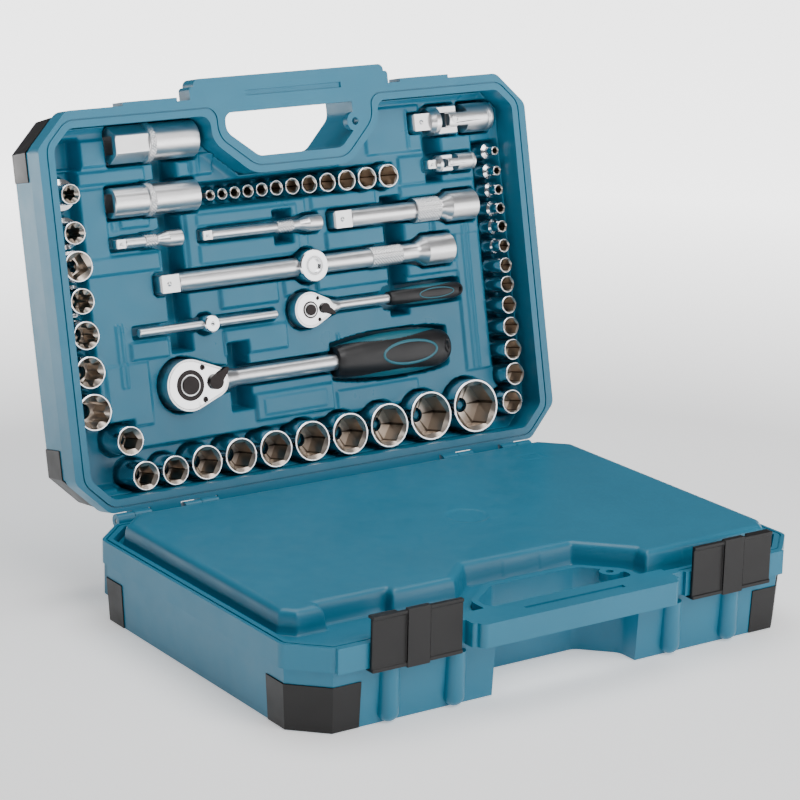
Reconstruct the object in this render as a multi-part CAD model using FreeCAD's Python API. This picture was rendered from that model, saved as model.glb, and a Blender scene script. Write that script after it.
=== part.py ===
"""Socket wrench set in a hinged carrying case.

The case lies open: the cover half lies flat on its outer face, and the tray half stands up on
its hinge side and leans back against its stop. The tools sit in the pockets of the tray.

Row frame: +X to the right, +Y to the hinge, +Z up, origin under the middle of the cover.
Tray frame: x to the right, y up the tray from the hinge axis, z out of the tray from the split
plane, so everything in the tray has a negative z.
"""
import FreeCAD, Part
import math
import os

from FreeCAD import Placement, Rotation, Vector

os.makedirs("parts", exist_ok=True)

# ---------------------------------------------------------------- case, driving dimensions (mm)
CASE_WIDTH = 410.0
CASE_LENGTH = 278.0           # hinge side to handle side, without the handle
CORNER_CHAMFER = 24.0
CORNER_RADIUS = 9.0            # where the cut corners meet the sides
COVER_DEPTH = 58.0
TRAY_DEPTH = 52.0
HINGE_OFFSET = 5.5            # hinge axis to the hinge side of both halves
OPEN_LEAN = 12.3              # degrees the open tray leans back from upright
SPLIT_GAP = 0.4               # gap between the two rims when the case is shut

DRAFT_INSET = 5.7             # how much the outer face is smaller than the rim, per side
BAND_DEPTH = 16.0             # height of the proud band along the rim
BAND_STEP = 3.0
RIM_GROOVE = 1.1               # width and depth of the groove pressed into both rims
TRAY_GROOVE = 6.0              # from the recess to the far side of the groove
COVER_GROOVE = 2.6             # from the outer edge to the groove
COVER_WALL = 4.4
TRAY_WALL = 2.2
TRAY_BACK = 1.7

RAIL_PROUD = 2.5              # latch rails stand out from the band
TRAY_RAIL = (94.0, 137.0)     # from and to, each side of the middle
COVER_RAIL = (94.0, 180.0)
TRAY_RAIL_DEPTH = 15.2
COVER_RAIL_DEPTH = 16.7

HANDLE_HALF_WIDTH = 80.0
HANDLE_STEP_HALF_WIDTH = 83.5
HANDLE_INNER = 272.5          # distance from the hinge axis
HANDLE_OUTER = 297.7
HANDLE_STEP_OUTER = 292.5
HANDLE_DEPTH = 16.0
HANDLE_CORNER = 4.5
HANDLE_STEP_CORNER = 2.5
BAY = [(-57.0, 259.0), (-32.0, 240.0), (38.0, 240.0), (60.0, 262.0)]
BAY_RADIUS = 10.0
LOCK_TAB = (50.0, 61.0, 249.0, 263.0)
LOCK_TAB_THICKNESS = 6.0
LOCK_EYE = (51.5, 258.0)
LOCK_LUG_RADIUS = 7.0
LOCK_EYE_RADIUS = 2.8
HANDLE_SLOT = (-38.0, 42.0, 283.2, 287.2)
HANDLE_SLOT_DEPTH = 1.2

PLATEAU_HEIGHT = 11.0         # inner wall of the cover above its rim
LEDGE_DEPTH = 5.0             # channel floor below the cover's rim
PLATEAU = [(-191, 36), (-173, 18), (171, 18), (191, 38), (191, 250), (182, 264), (76, 266),
           (76, 254), (46, 224), (-40, 222), (-62, 242), (-182, 242), (-191, 233)]
PLATEAU_NOTCH = (-161.0, -111.0, 234.5)

RECESS_INSET = 12.0           # width of the tray's rim
RECESS_HINGE_SIDE = 14.6
RECESS_CORNER = 13.0
RECESS_HINGE_CORNER = 16.0
RECESS_BAY_GAP = 12.0
RECESS_RADIUS = 8.0
DECK = -26.0                  # surface of the tray that the tools lie on
LINER_SHEET = 1.5
POCKET_FLOOR = -48.7
TOOL_TOP = -12.6              # highest point of a standing socket
POCKET_GAP = 0.4

GUARD_REACH = 46.0
GUARD_SKIN = 0.9
GUARD_DEPTH = 27.0            # below the rim

RIB_RADIUS = 7.0
FRONT_RIBS = (-138.0, -88.0, 88.0, 138.0)
FRONT_RIB_TOP = 20.6          # below the rim, clear of the latches
FOOT_REACH = 22.0             # how far the hinge-side feet reach past the hinge axis
HINGES = ((97.0, 124.0), (151.0, 178.0))  # from and to, each side of the middle
KNUCKLE_RADIUS = 5.0
PIN_RADIUS = 1.5
RUNNING_GAP = 0.06
HINGE_LIPS = ((-95.5, 95.5), (125.5, 149.5), (-149.5, -125.5))
HINGE_LIP_GAP = 0.3            # lip edge to the hinge axis
HINGE_LIP_THICKNESS = 2.4

LATCH_LENGTH = 68.0
LATCH_CENTRES = {"latch_left": -123.5, "latch_right": 131.3}
LATCH_HOOK_LENGTH = 20.0

HALF = CASE_WIDTH / 2
HINGE_Y = CASE_LENGTH / 2 + HINGE_OFFSET
NEAR = HINGE_OFFSET                     # hinge side, from the hinge axis
FAR = HINGE_OFFSET + CASE_LENGTH        # handle side
TRAY_PLACE = Placement(Vector(0, HINGE_Y, COVER_DEPTH), Rotation(Vector(1, 0, 0), 90 - OPEN_LEAN))
COVER_PLACE = Placement(Vector(0, HINGE_Y, COVER_DEPTH), Rotation())

# ---------------------------------------------------------------- tools, driving dimensions (mm)
HALF_SQUARE = 12.7
QUARTER_SQUARE = 6.35
HEX_SIZES = (12, 13, 14, 17, 18, 19, 21, 22, 24, 27, 30)
HEX_ROW_EDGE = 15.5           # lower edge of the row of half-inch sockets
HEX_ROW_GAP = 2.6
HEX_ROW_END = 141.6           # centre of the largest socket
SMALLEST_HEX = (-153.0, 52.0)
STAR_COLUMN = -178.0
STARS = ((10, 14.6, 226.9), (12, 16.4, 200.1), (14, 17.6, 177.0), (16, 18.6, 152.9),
         (18, 20.4, 129.0), (20, 23.0, 103.3), (24, 26.2, 75.5))   # size, nose, height on tray
STAR_TURNED = 14              # this one is stored with its drive end out
QUARTER_COLUMN = 182.4
QUARTERS = ((4, 225.8), (4.5, 210.6), (5, 196.2), (5.5, 182.0), (6, 168.2), (7, 153.4),
            (8, 138.5), (9, 123.9), (10, 108.2), (11, 91.4), (12, 73.9), (13, 55.2), (14, 34.2))
DEEP_SIZES = (4, 4.5, 5, 5.5, 6, 7, 8, 9, 10, 11, 12, 13)
DEEP_ROW_HEIGHT = 215.8
DEEP_ROW_END = 86.0
DEEP_ROW_GAP = 2.1
DEEP_TOP = -16.0
SOCKET_CHAMFER = 0.8


# ---------------------------------------------------------------- helpers
def prism(points, low, high):
    """Straight prism on a closed outline of (x, y) points."""
    wire = Part.makePolygon([Vector(x, y, low) for x, y in points] + [Vector(*points[0], low)])
    return Part.Face(wire).extrude(Vector(0, 0, high - low))


def soft_prism(points, low, high, outward, inward=None):
    """Prism whose corners are rounded: one radius where it bulges, another where it bends in."""
    count = len(points)
    area = sum(points[i - 1][0] * points[i][1] - points[i][0] * points[i - 1][1]
               for i in range(count))
    corners = []
    for i, (x, y) in enumerate(points):
        here = Vector(x, y, low)
        back = Vector(*points[i - 1], low) - here
        ahead = Vector(*points[(i + 1) % count], low) - here
        bulges = (ahead.cross(back).z > 0) == (area > 0)
        radius = outward if bulges or inward is None else inward
        half = back.getAngle(ahead) / 2
        reach = min(radius / math.tan(half), 0.45 * back.Length, 0.45 * ahead.Length)
        radius = reach * math.tan(half)
        back.normalize()
        ahead.normalize()
        middle = (back + ahead).normalize() * (radius / math.sin(half) - radius)
        corners.append((here + back * reach, here + middle, here + ahead * reach))
    edges = []
    for i, (start, middle, end) in enumerate(corners):
        edges.append(Part.Arc(start, middle, end).toShape())
        edges.append(Part.LineSegment(end, corners[(i + 1) % count][0]).toShape())
    return Part.Face(Part.Wire(edges)).extrude(Vector(0, 0, high - low))


def taper(low_points, low, high_points, high):
    """Solid between two outlines with the same number of corners."""
    wires = []
    for points, z in ((low_points, low), (high_points, high)):
        wires.append(Part.makePolygon([Vector(x, y, z) for x, y in points]
                                      + [Vector(*points[0], z)]))
    return Part.makeLoft(wires, True, True)


def box(x0, x1, y0, y1, z0, z1):
    return Part.makeBox(x1 - x0, y1 - y0, z1 - z0, Vector(x0, y0, z0))


def cylinder(radius, start, end):
    """Cylinder between two points."""
    axis = Vector(*end) - Vector(*start)
    return Part.makeCylinder(radius, axis.Length, Vector(*start), axis)


def cone(radius_a, radius_b, start, end):
    axis = Vector(*end) - Vector(*start)
    return Part.makeCone(radius_a, radius_b, axis.Length, Vector(*start), axis)


def regular(count, radius, turn=0.0):
    """Corners of a regular polygon."""
    step = 2 * math.pi / count
    return [(radius * math.cos(turn + i * step), radius * math.sin(turn + i * step))
            for i in range(count)]


def hexagon(across_flats, low, high):
    return prism(regular(6, across_flats / math.sqrt(3), math.pi / 6), low, high)


def square_bar(side, low, high):
    half = side / 2
    return box(-half, half, -half, half, low, high)


def turned(steps):
    """Stepped round bar along +Z: (radius, low, high) for each step, with chamfered ends."""
    solid = None
    for radius, low, high in steps:
        edge = min(SOCKET_CHAMFER, radius / 6)
        piece = cylinder(radius, (0, 0, low + edge), (0, 0, high - edge))
        piece = piece.fuse(cone(radius - edge, radius, (0, 0, low), (0, 0, low + edge)))
        piece = piece.fuse(cone(radius, radius - edge, (0, 0, high - edge), (0, 0, high)))
        solid = piece if solid is None else solid.fuse(piece)
    return solid.removeSplitter()


def fuse_all(shapes):
    return shapes[0].multiFuse(shapes[1:]) if len(shapes) > 1 else shapes[0]


def moved(shape, x, y, z, axis=Vector(0, 0, 1), angle=0.0):
    copy = shape.copy()
    copy.rotate(Vector(0, 0, 0), axis, angle)
    copy.translate(Vector(x, y, z))
    return copy


def save(name, shapes, place=None):
    """Write one node; several solids in a list stay separate solids."""
    shapes = shapes if isinstance(shapes, list) else [shapes]
    solids = [solid for shape in shapes for solid in shape.Solids]
    out = solids[0] if len(solids) == 1 else Part.makeCompound(solids)
    if place is not None:
        out = out.copy()
        out.Placement = place.multiply(out.Placement)
    out.exportStep("parts/%s.step" % name)


# ---------------------------------------------------------------- case halves
def outline(inset, side):
    """Case outline with cut corners; side is 1 for the tray and -1 for the cover."""
    x = HALF - inset
    near, far = NEAR + inset, FAR - inset
    cut = CORNER_CHAMFER - inset * (2 - math.sqrt(2))
    points = [(x - cut, near), (x, near + cut), (x, far - cut), (x - cut, far),
              (cut - x, far), (-x, far - cut), (-x, near + cut), (cut - x, near)]
    return [(px, side * py) for px, py in points]


def flip(points, side):
    return [(x, side * y) for x, y in points]


def side_box(x0, x1, v0, v1, z0, z1, side):
    low, high = sorted((side * v0, side * v1))
    return box(x0, x1, low, high, z0, z1)


def bay_solid(grow, low, high, reach, side):
    """Prism of the finger bay behind the handle, as far out as reach."""
    (x0, v0), (x1, v1), (x2, v2), (x3, v3) = BAY
    points = [(x0 - grow, reach), (x0 - grow, v0 - grow / 2), (x1 - grow / 2, v1 - grow),
              (x2 + grow / 2, v2 - grow), (x3 + grow, v3 - grow / 2), (x3 + grow, reach)]
    return soft_prism(flip(points, side), low, high, BAY_RADIUS + grow)


def upright_edges(shape, v):
    """Edges along the case's depth that lie at one distance from the hinge axis."""
    return [edge for edge in shape.Edges
            if abs(abs(edge.CenterOfMass.y) - v) < 0.01 and edge.BoundBox.YLength < 0.01
            and edge.BoundBox.XLength < 0.01]


def handle_solid(depth, top, side):
    """Handle bar with a step at each end, split at the middle of its thickness."""
    bar = side_box(-HANDLE_HALF_WIDTH, HANDLE_HALF_WIDTH, HANDLE_INNER, HANDLE_OUTER,
                   -depth, top, side)
    step = side_box(-HANDLE_STEP_HALF_WIDTH, HANDLE_STEP_HALF_WIDTH, HANDLE_INNER,
                    HANDLE_STEP_OUTER, -depth, top, side)
    bar = bar.makeFillet(HANDLE_CORNER, upright_edges(bar, HANDLE_OUTER))
    step = step.makeFillet(HANDLE_STEP_CORNER, upright_edges(step, HANDLE_STEP_OUTER))
    return bar.fuse(step)


def lock_tab(top, side):
    """Round padlock lug in a corner of the bay; the tray's reaches on to the handle."""
    x0, x1, v0, v1 = LOCK_TAB
    v1 = HANDLE_INNER + 1 if side == 1 else v1
    tab = side_box(x0, x1, v0, v1, -LOCK_TAB_THICKNESS, top, side)
    x, v = LOCK_EYE
    lug = cylinder(LOCK_LUG_RADIUS, (x, side * v, -LOCK_TAB_THICKNESS), (x, side * v, top))
    room = bay_solid(TRAY_WALL, -LOCK_TAB_THICKNESS, top, HANDLE_INNER + 1 + BAY_RADIUS, side)
    eye = cylinder(LOCK_EYE_RADIUS, (x, side * v, -LOCK_TAB_THICKNESS - 1), (x, side * v, 1))
    return tab.fuse(lug).common(room), eye


def half_outside(depth, top, rail, rail_depth, side):
    """Outer form of one case half, filled in."""
    body = taper(outline(DRAFT_INSET, side), -depth, outline(BAND_STEP, side), -BAND_DEPTH + 1)
    band = soft_prism(outline(0, side), -BAND_DEPTH, top, CORNER_RADIUS)
    shapes = [band, handle_solid(HANDLE_DEPTH, top, side)]
    for sign in (-1, 1):
        x0, x1 = sorted((sign * rail[0], sign * rail[1]))
        shapes.append(side_box(x0, x1, FAR - 20, FAR + RAIL_PROUD, -rail_depth, top, side))
    return body.multiFuse(shapes)


def half_inside(depth, wall, back, top, side):
    """Hollow of one case half, clear of the finger bay."""
    inside = taper(outline(DRAFT_INSET + wall, side), back - depth,
                   outline(BAND_STEP + wall, side), top)
    bar = side_box(-HANDLE_HALF_WIDTH + wall, HANDLE_HALF_WIDTH - wall, HANDLE_INNER + wall,
                   HANDLE_OUTER - wall, wall - HANDLE_DEPTH, top, side)
    bay_wall = bay_solid(wall, -depth - 1, 1, HANDLE_OUTER + 1, side)
    return inside.cut(bay_wall).fuse(bar)


def bay_cut(depth, side):
    """Finger opening: through behind the handle, and open to the front under the handle."""
    through = bay_solid(0, -depth - 1, 1, HANDLE_INNER, side)
    under = bay_solid(0, -depth - 1, -HANDLE_DEPTH, HANDLE_OUTER + 1, side)
    return through.fuse(under)


def knuckles(side, top):
    """Hinge knuckles with webs to the wall; the two halves alternate along the axis."""
    shapes = []
    bores = []
    for sign in (-1, 1):
        for start, end in HINGES:
            middle = (start + end) / 2
            inner, outer = (start, middle - 0.2) if side == 1 else (middle + 0.2, end)
            x0, x1 = sorted((sign * inner, sign * outer))
            shapes.append(cylinder(KNUCKLE_RADIUS, (x0, 0, 0), (x1, 0, 0)))
            web = side_box(x0, x1, 0, NEAR + 1, -KNUCKLE_RADIUS - 4, -SPLIT_GAP, side)
            shapes.append(web)
            gap = RUNNING_GAP if side == 1 else 0.0
            bores.append(cylinder(PIN_RADIUS + gap, (x0 - 1, 0, 0), (x1 + 1, 0, 0)))
    return shapes, bores


def hinge_lips(side, top):
    """Lips along the hinge side, between the hinges, that meet edge to edge at the axis."""
    return [side_box(x0, x1, HINGE_LIP_GAP, NEAR + 1, top - HINGE_LIP_THICKNESS, top, side)
            for x0, x1 in HINGE_LIPS]


def ribs(depth):
    """Half-round ribs down the cover's front and hinge walls; they end as feet on the floor."""
    shapes = []
    front = -(FAR - BAND_STEP - 1.5)
    for x in FRONT_RIBS:
        end = RIB_RADIUS + 0.3 - depth
        shapes.append(cylinder(RIB_RADIUS, (x, front, end), (x, front, -FRONT_RIB_TOP)))
        shapes.append(Part.makeSphere(RIB_RADIUS, Vector(x, front, end)))
    for sign in (-1, 1):
        for start, end in HINGES:
            x0, x1 = sorted((sign * start, sign * end))
            foot = [(-NEAR - 8, -depth), (FOOT_REACH, -depth), (FOOT_REACH, -22.0),
                    (NEAR, -11.0), (-NEAR - 8, -11.0)]
            wire = Part.makePolygon([Vector(x0, y, z) for y, z in foot + foot[:1]])
            foot = Part.Face(wire).extrude(Vector(x1 - x0, 0, 0))
            corners = [e for e in foot.Edges if abs(e.CenterOfMass.y - FOOT_REACH) < 0.1
                       and e.BoundBox.ZLength > 10]
            shapes.append(foot.makeFillet(6.0, corners))
    return shapes


def make_cover():
    side = -1
    outer = half_outside(COVER_DEPTH, 0.0, COVER_RAIL, COVER_RAIL_DEPTH, side)
    rib_shapes = ribs(COVER_DEPTH)
    hinge_shapes, bores = knuckles(side, 0.0)
    clear = cylinder(KNUCKLE_RADIUS + 0.5, (-HALF, 0, 0), (HALF, 0, 0))
    outer = outer.cut(clear).multiFuse(rib_shapes + hinge_shapes + hinge_lips(side, 0.0))
    inside = half_inside(COVER_DEPTH, COVER_WALL, COVER_WALL, 1.0, side)
    outer = outer.cut(inside).cut(bay_cut(COVER_DEPTH, side))
    tab, eye = lock_tab(0.0, side)
    slot = side_box(*HANDLE_SLOT[:2], *HANDLE_SLOT[2:], -HANDLE_SLOT_DEPTH, 1, side)
    handle_lid = handle_solid(3.0, 0.0, side).cut(bay_cut(COVER_DEPTH, side))
    outer = outer.fuse(tab).fuse(handle_lid).cut(eye).cut(slot).cut(fuse_all(bores))
    groove = soft_prism(outline(COVER_GROOVE, side), -RIM_GROOVE, 1, CORNER_RADIUS - COVER_GROOVE)
    edge = COVER_GROOVE + RIM_GROOVE
    groove = groove.cut(soft_prism(outline(edge, side), -RIM_GROOVE, 1, CORNER_RADIUS - edge))
    outer = outer.cut(groove.cut(side_box(-92, 92, HANDLE_INNER - 2, FAR, -2, 2, side)))
    save("cover_outer_wall", outer.removeSplitter(), COVER_PLACE)

    # the inner wall: a ledge inside the rim, and the raised plateau that closes over the tools
    fit = BAND_STEP + COVER_WALL + 0.5
    ledge = prism(outline(fit, side), -LEDGE_DEPTH - 2.5, -LEDGE_DEPTH)
    notch_x0, notch_x1, notch_v = PLATEAU_NOTCH
    notch = side_box(notch_x0, notch_x1, notch_v, 260, -LEDGE_DEPTH, 30, side)
    plateau = prism(flip(PLATEAU, side), -LEDGE_DEPTH - 2.5, PLATEAU_HEIGHT).cut(notch)
    top_edges = [e for e in plateau.Edges if e.CenterOfMass.z > PLATEAU_HEIGHT - 0.1]
    plateau = plateau.makeFillet(5.0, top_edges)
    hollow = prism(flip([(x * 0.98, 130 + (y - 130) * 0.965) for x, y in PLATEAU], side),
                   -LEDGE_DEPTH - 3, PLATEAU_HEIGHT - 3.0)
    notch_wall = side_box(notch_x0 - 3, notch_x1 + 3, notch_v - 3, 260, -LEDGE_DEPTH - 3, 30, side)
    inner = ledge.fuse(plateau).cut(hollow.cut(notch_wall))
    inner = inner.cut(bay_solid(COVER_WALL + 0.05, -30, 1, HANDLE_INNER + 30, side))
    keep = side_box(-HALF, HALF, NEAR, HANDLE_INNER - 2, -30, 30, side)
    save("cover_inner_wall", inner.common(keep).removeSplitter(), COVER_PLACE)


def recess_outline(grow):
    """Inner edge of the tray's rim, going round the handle bay."""
    inset = RECESS_INSET - grow
    x = HALF - inset
    near, far = RECESS_HINGE_SIDE - grow, FAR - inset
    cut = RECESS_CORNER + grow * (2 - math.sqrt(2))
    low_cut = cut + RECESS_HINGE_CORNER - RECESS_CORNER
    (x0, v0), (x1, v1), (x2, v2), (x3, v3) = BAY
    gap = RECESS_BAY_GAP - grow
    return [(x - low_cut, near), (x, near + low_cut), (x, far - cut), (x - cut, far),
            (x3 + gap, far), (x3 + gap, v3 - gap / 2), (x2 + gap / 2, v2 - gap),
            (x1 - gap / 2, v1 - gap), (x0 - gap, v0 - gap / 2), (x0 - gap, far),
            (cut - x, far), (-x, far - cut), (-x, near + low_cut), (low_cut - x, near)]


def recess_prism(grow, low, high):
    return soft_prism(recess_outline(grow), low, high, RECESS_RADIUS + grow,
                      BAY_RADIUS + RECESS_BAY_GAP - grow)


def make_tray_wall():
    side = 1
    top = -SPLIT_GAP
    outer = half_outside(TRAY_DEPTH, top, TRAY_RAIL, TRAY_RAIL_DEPTH, side)
    hinge_shapes, bores = knuckles(side, top)
    clear = cylinder(KNUCKLE_RADIUS + 0.5, (-HALF, 0, 0), (HALF, 0, 0))
    outer = outer.cut(clear).multiFuse(hinge_shapes + hinge_lips(side, top))
    inside = half_inside(TRAY_DEPTH, TRAY_WALL, TRAY_BACK, top - TRAY_WALL, side)
    inside = inside.cut(recess_prism(TRAY_WALL, DECK, 1))
    outer = outer.cut(inside).cut(recess_prism(0, DECK - 0.01, 1))
    outer = outer.cut(bay_cut(TRAY_DEPTH, side))
    tab, eye = lock_tab(top, side)
    slot = side_box(*HANDLE_SLOT[:2], *HANDLE_SLOT[2:], top - HANDLE_SLOT_DEPTH, 1, side)
    outer = outer.fuse(tab).cut(eye).cut(slot).cut(fuse_all(bores))
    groove = recess_prism(TRAY_GROOVE, top - RIM_GROOVE, 1)
    outer = outer.cut(groove.cut(recess_prism(TRAY_GROOVE - RIM_GROOVE, top - RIM_GROOVE, 1)))
    save("tray_outer_wall", outer.removeSplitter(), TRAY_PLACE)


def make_guards(name, depth, side, place):
    """Four corner guards that wrap the cut corners on the outer half of the wall."""
    slope = (DRAFT_INSET - BAND_STEP) / (depth - BAND_DEPTH + 1)
    inset_top = BAND_STEP + slope * (GUARD_DEPTH - BAND_DEPTH + 1)
    body = taper(outline(DRAFT_INSET, side), -depth, outline(BAND_STEP, side), -BAND_DEPTH + 1)
    skin = taper(outline(DRAFT_INSET - GUARD_SKIN, side), -depth,
                 outline(inset_top - GUARD_SKIN, side), -GUARD_DEPTH)
    skin = skin.cut(body)
    if side == -1:
        skin = skin.cut(fuse_all(ribs(depth)))
    guards = []
    for x_side in (-1, 1):
        for v_mid in (NEAR, FAR):
            towards = 1 if v_mid == NEAR else -1
            x0, x1 = sorted((x_side * (HALF + 5), x_side * (HALF - GUARD_REACH)))
            v0, v1 = sorted((v_mid - towards * 5, v_mid + towards * GUARD_REACH))
            guards.append(skin.common(side_box(x0, x1, v0, v1, -depth - 1, 0, side)))
    save(name, guards, place)


def make_pins():
    pins = []
    for sign in (-1, 1):
        for start, end in HINGES:
            x0, x1 = sorted((sign * (start + 0.5), sign * (end - 0.5)))
            pins.append(cylinder(PIN_RADIUS, (x0, 0, 0), (x1, 0, 0)))
    save("hinge_pins", pins, COVER_PLACE)


def make_latch(name, centre):
    """Sliding latch: a plate in front of both rails, hooked under the cover's rail."""
    outward = 1 if centre > 0 else -1
    face = -(FAR + RAIL_PROUD + 0.8)
    half = LATCH_LENGTH / 2
    low, high = -COVER_RAIL_DEPTH - 2.3, TRAY_RAIL_DEPTH + 2.3
    plate = box(-half, half, face - 2.4, face, low, high)
    lower_lip = box(-half, half, face - 2.4, face + 4.6, low, -COVER_RAIL_DEPTH - 0.3)
    hook_x = sorted((outward * half, outward * (half - LATCH_HOOK_LENGTH)))
    hook = box(*hook_x, face - 2.4, face + 3.0, TRAY_RAIL_DEPTH + 0.3, high)
    band = box(-8.5, 8.5, face - 4.0, face, low - 1.0, high + 1.0)
    beads = [box(-half, half, face - 3.3, face, high - 2.4, high),
             box(-half, half, face - 3.3, face, low, low + 2.4)]
    latch = fuse_all([plate, lower_lip, hook, band] + beads).removeSplitter()
    save(name, moved(latch, centre, 0, 0), COVER_PLACE)


# ---------------------------------------------------------------- sockets
def socket_diameter(size):
    return max(21.0, 1.2 * size + 4.6)


def quarter_diameter(size):
    return 1.23 * size + 1.7


def deep_diameter(size):
    return 1.11 * size + 3.06


def broached(solid, length, opening, opening_depth, square, square_depth):
    """Cut the mouth, the square drive hole and the hole between them."""
    mouth = opening.copy()
    drive = square_bar(square + 0.15, -0.1, square_depth)
    between = cylinder(square * 0.44, (0, 0, 1), (0, 0, length - opening_depth + 1))
    return solid.cut(mouth.fuse(drive).fuse(between)).removeSplitter()


def hex_socket(size, diameter, length, square, square_depth, nose=None):
    """Socket along +Z with its hexagon at the top; nose is (diameter, height) of a thin end."""
    if nose is None:
        solid = turned([(diameter / 2, 0, length)])
    else:
        solid = turned([(diameter / 2, 0, length - nose[1] + 1), (nose[0] / 2, length - nose[1],
                                                                 length)])
    depth = min(length - square_depth - 1.5, max(0.5 * length, size * 0.5))
    return broached(solid, length, hexagon(size + 0.1, length - depth, length + 1), depth,
                    square, square_depth)


def star_outline(size):
    """Six-lobed opening for a star-headed screw."""
    outer, inner = size * 0.5, size * 0.37
    points = []
    for i in range(12):
        radius = outer if i % 2 == 0 else inner
        angle = math.pi * i / 6
        for spread in (-0.13, 0.13):
            points.append((radius * math.cos(angle + spread), radius * math.sin(angle + spread)))
    return points


def star_socket(size, nose, length, square, square_depth):
    body = max(22.0, nose)
    solid = turned([(body / 2, 0, length * 0.62), (nose / 2, length * 0.62 - 1, length)])
    depth = length - square_depth - 3
    opening = prism(star_outline(size * 0.92), length - depth, length + 1)
    return broached(solid, length, opening, depth, square, square_depth)


SOCKET_LENGTH = TOOL_TOP - POCKET_FLOOR - 0.3
QUARTER_LENGTH = 25.0
DEEP_LENGTH = DEEP_TOP - POCKET_FLOOR - 0.3


def hex_places():
    """Centre of each half-inch hexagon socket: a row with equal gaps, standing on one line."""
    places = {}
    x = HEX_ROW_END
    for larger, size in zip((None,) + HEX_SIZES[:0:-1], HEX_SIZES[:0:-1]):
        if larger is not None:
            pair = (socket_diameter(larger) + socket_diameter(size)) / 2
            x -= (pair + HEX_ROW_GAP) if larger != size else 0
        places[size] = (x, HEX_ROW_EDGE + socket_diameter(size) / 2)
    places[HEX_SIZES[0]] = SMALLEST_HEX
    return places


def deep_places():
    places = {}
    x = DEEP_ROW_END
    previous = None
    for size in reversed(DEEP_SIZES):
        if previous is not None:
            x -= (deep_diameter(previous) + deep_diameter(size)) / 2 + DEEP_ROW_GAP
        places[size] = (x, DEEP_ROW_HEIGHT)
        previous = size
    return places


def make_sockets():
    """All standing sockets; returns the pockets they need."""
    pockets = []
    base = POCKET_FLOOR + 0.3
    for size, (x, v) in hex_places().items():
        diameter = socket_diameter(size)
        socket = hex_socket(size, diameter, SOCKET_LENGTH, HALF_SQUARE, 14.0)
        save("socket_hex_%d" % size, moved(socket, x, v, base, angle=11.0 * size), TRAY_PLACE)
        pockets.append((x, v, diameter / 2 + POCKET_GAP, POCKET_FLOOR))

    stars = []
    for size, nose, v in STARS:
        socket = star_socket(size, nose, SOCKET_LENGTH, HALF_SQUARE, 14.0)
        if size == STAR_TURNED:
            socket = moved(socket, 0, 0, SOCKET_LENGTH, Vector(1, 0, 0), 180)
        stars.append(moved(socket, STAR_COLUMN, v, base, angle=7.0 * size))
        pockets.append((STAR_COLUMN, v, max(22.0, nose) / 2 + POCKET_GAP, POCKET_FLOOR))
    save("star_sockets_half_inch", stars, TRAY_PLACE)

    quarters = []
    floor = TOOL_TOP - QUARTER_LENGTH
    for size, v in QUARTERS:
        diameter = quarter_diameter(size)
        body = max(12.0, diameter)
        nose = None if diameter >= 12.0 else (diameter, 11.0)
        socket = hex_socket(size, body, QUARTER_LENGTH, QUARTER_SQUARE, 8.5, nose)
        x = QUARTER_COLUMN - (6.5 if size == QUARTERS[-1][0] else 0.22 * max(0, size - 7))
        quarters.append(moved(socket, x, v, floor, angle=17.0 * size))
        pockets.append((x, v, body / 2 + POCKET_GAP, floor - 0.3))
    save("hex_sockets_quarter_inch", quarters, TRAY_PLACE)

    deeps = []
    for size, (x, v) in deep_places().items():
        diameter = deep_diameter(size)
        drive = min(QUARTER_SQUARE, 0.62 * diameter)
        socket = hex_socket(size, diameter, DEEP_LENGTH, drive - 0.15, 8.5)
        deeps.append(moved(socket, x, v, base, angle=23.0 * size))
        pockets.append((x, v, diameter / 2 + POCKET_GAP, POCKET_FLOOR))
    save("deep_sockets_quarter_inch", deeps, TRAY_PLACE)
    return pockets


# ---------------------------------------------------------------- ratchets
def pear(big, small, distance, low, high, inset=0.0):
    """Prism on two circles and the tangents between them."""
    r0, r1 = big - inset, small - inset
    angle = math.acos((r0 - r1) / distance)
    points = [(r0 * math.cos(angle), r0 * math.sin(angle)),
              (distance + r1 * math.cos(angle), r1 * math.sin(angle)),
              (distance + r1 * math.cos(angle), -r1 * math.sin(angle)),
              (r0 * math.cos(angle), -r0 * math.sin(angle))]
    solid = prism(points, low, high)
    solid = solid.fuse(cylinder(r0, (0, 0, low), (0, 0, high)))
    return solid.fuse(cylinder(r1, (distance, 0, low), (distance, 0, high))).removeSplitter()


def toothed(count, outer, depth, low, high):
    """Straight-toothed ring outline, as a prism."""
    points = []
    for i in range(count):
        for radius, part in ((outer - depth, 0.0), (outer, 0.35), (outer, 0.65)):
            angle = 2 * math.pi * (i + part) / count
            points.append((radius * math.cos(angle), radius * math.sin(angle)))
    return prism(points, low, high)


def oval(x, half_y, half_z):
    """Ellipse wire across the X axis."""
    if half_y >= half_z:
        ellipse = Part.Ellipse(Vector(x, half_y, 0), Vector(x, 0, half_z), Vector(x, 0, 0))
    else:
        ellipse = Part.Ellipse(Vector(x, 0, half_z), Vector(x, half_y, 0), Vector(x, 0, 0))
    return Part.Wire([ellipse.toShape()])


GRIP_STATIONS = ((0.0, 0.72), (0.12, 0.84), (0.45, 1.0), (0.72, 0.97), (0.93, 0.86), (1.0, 0.76))


def grip_form(start, length, half_y, half_z, grow=0.0):
    """Barrel-shaped oval grip along X."""
    wires = [oval(start + length * t, half_y * k + grow, half_z * k + grow)
             for t, k in GRIP_STATIONS]
    return Part.makeLoft(wires, True, False)


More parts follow.
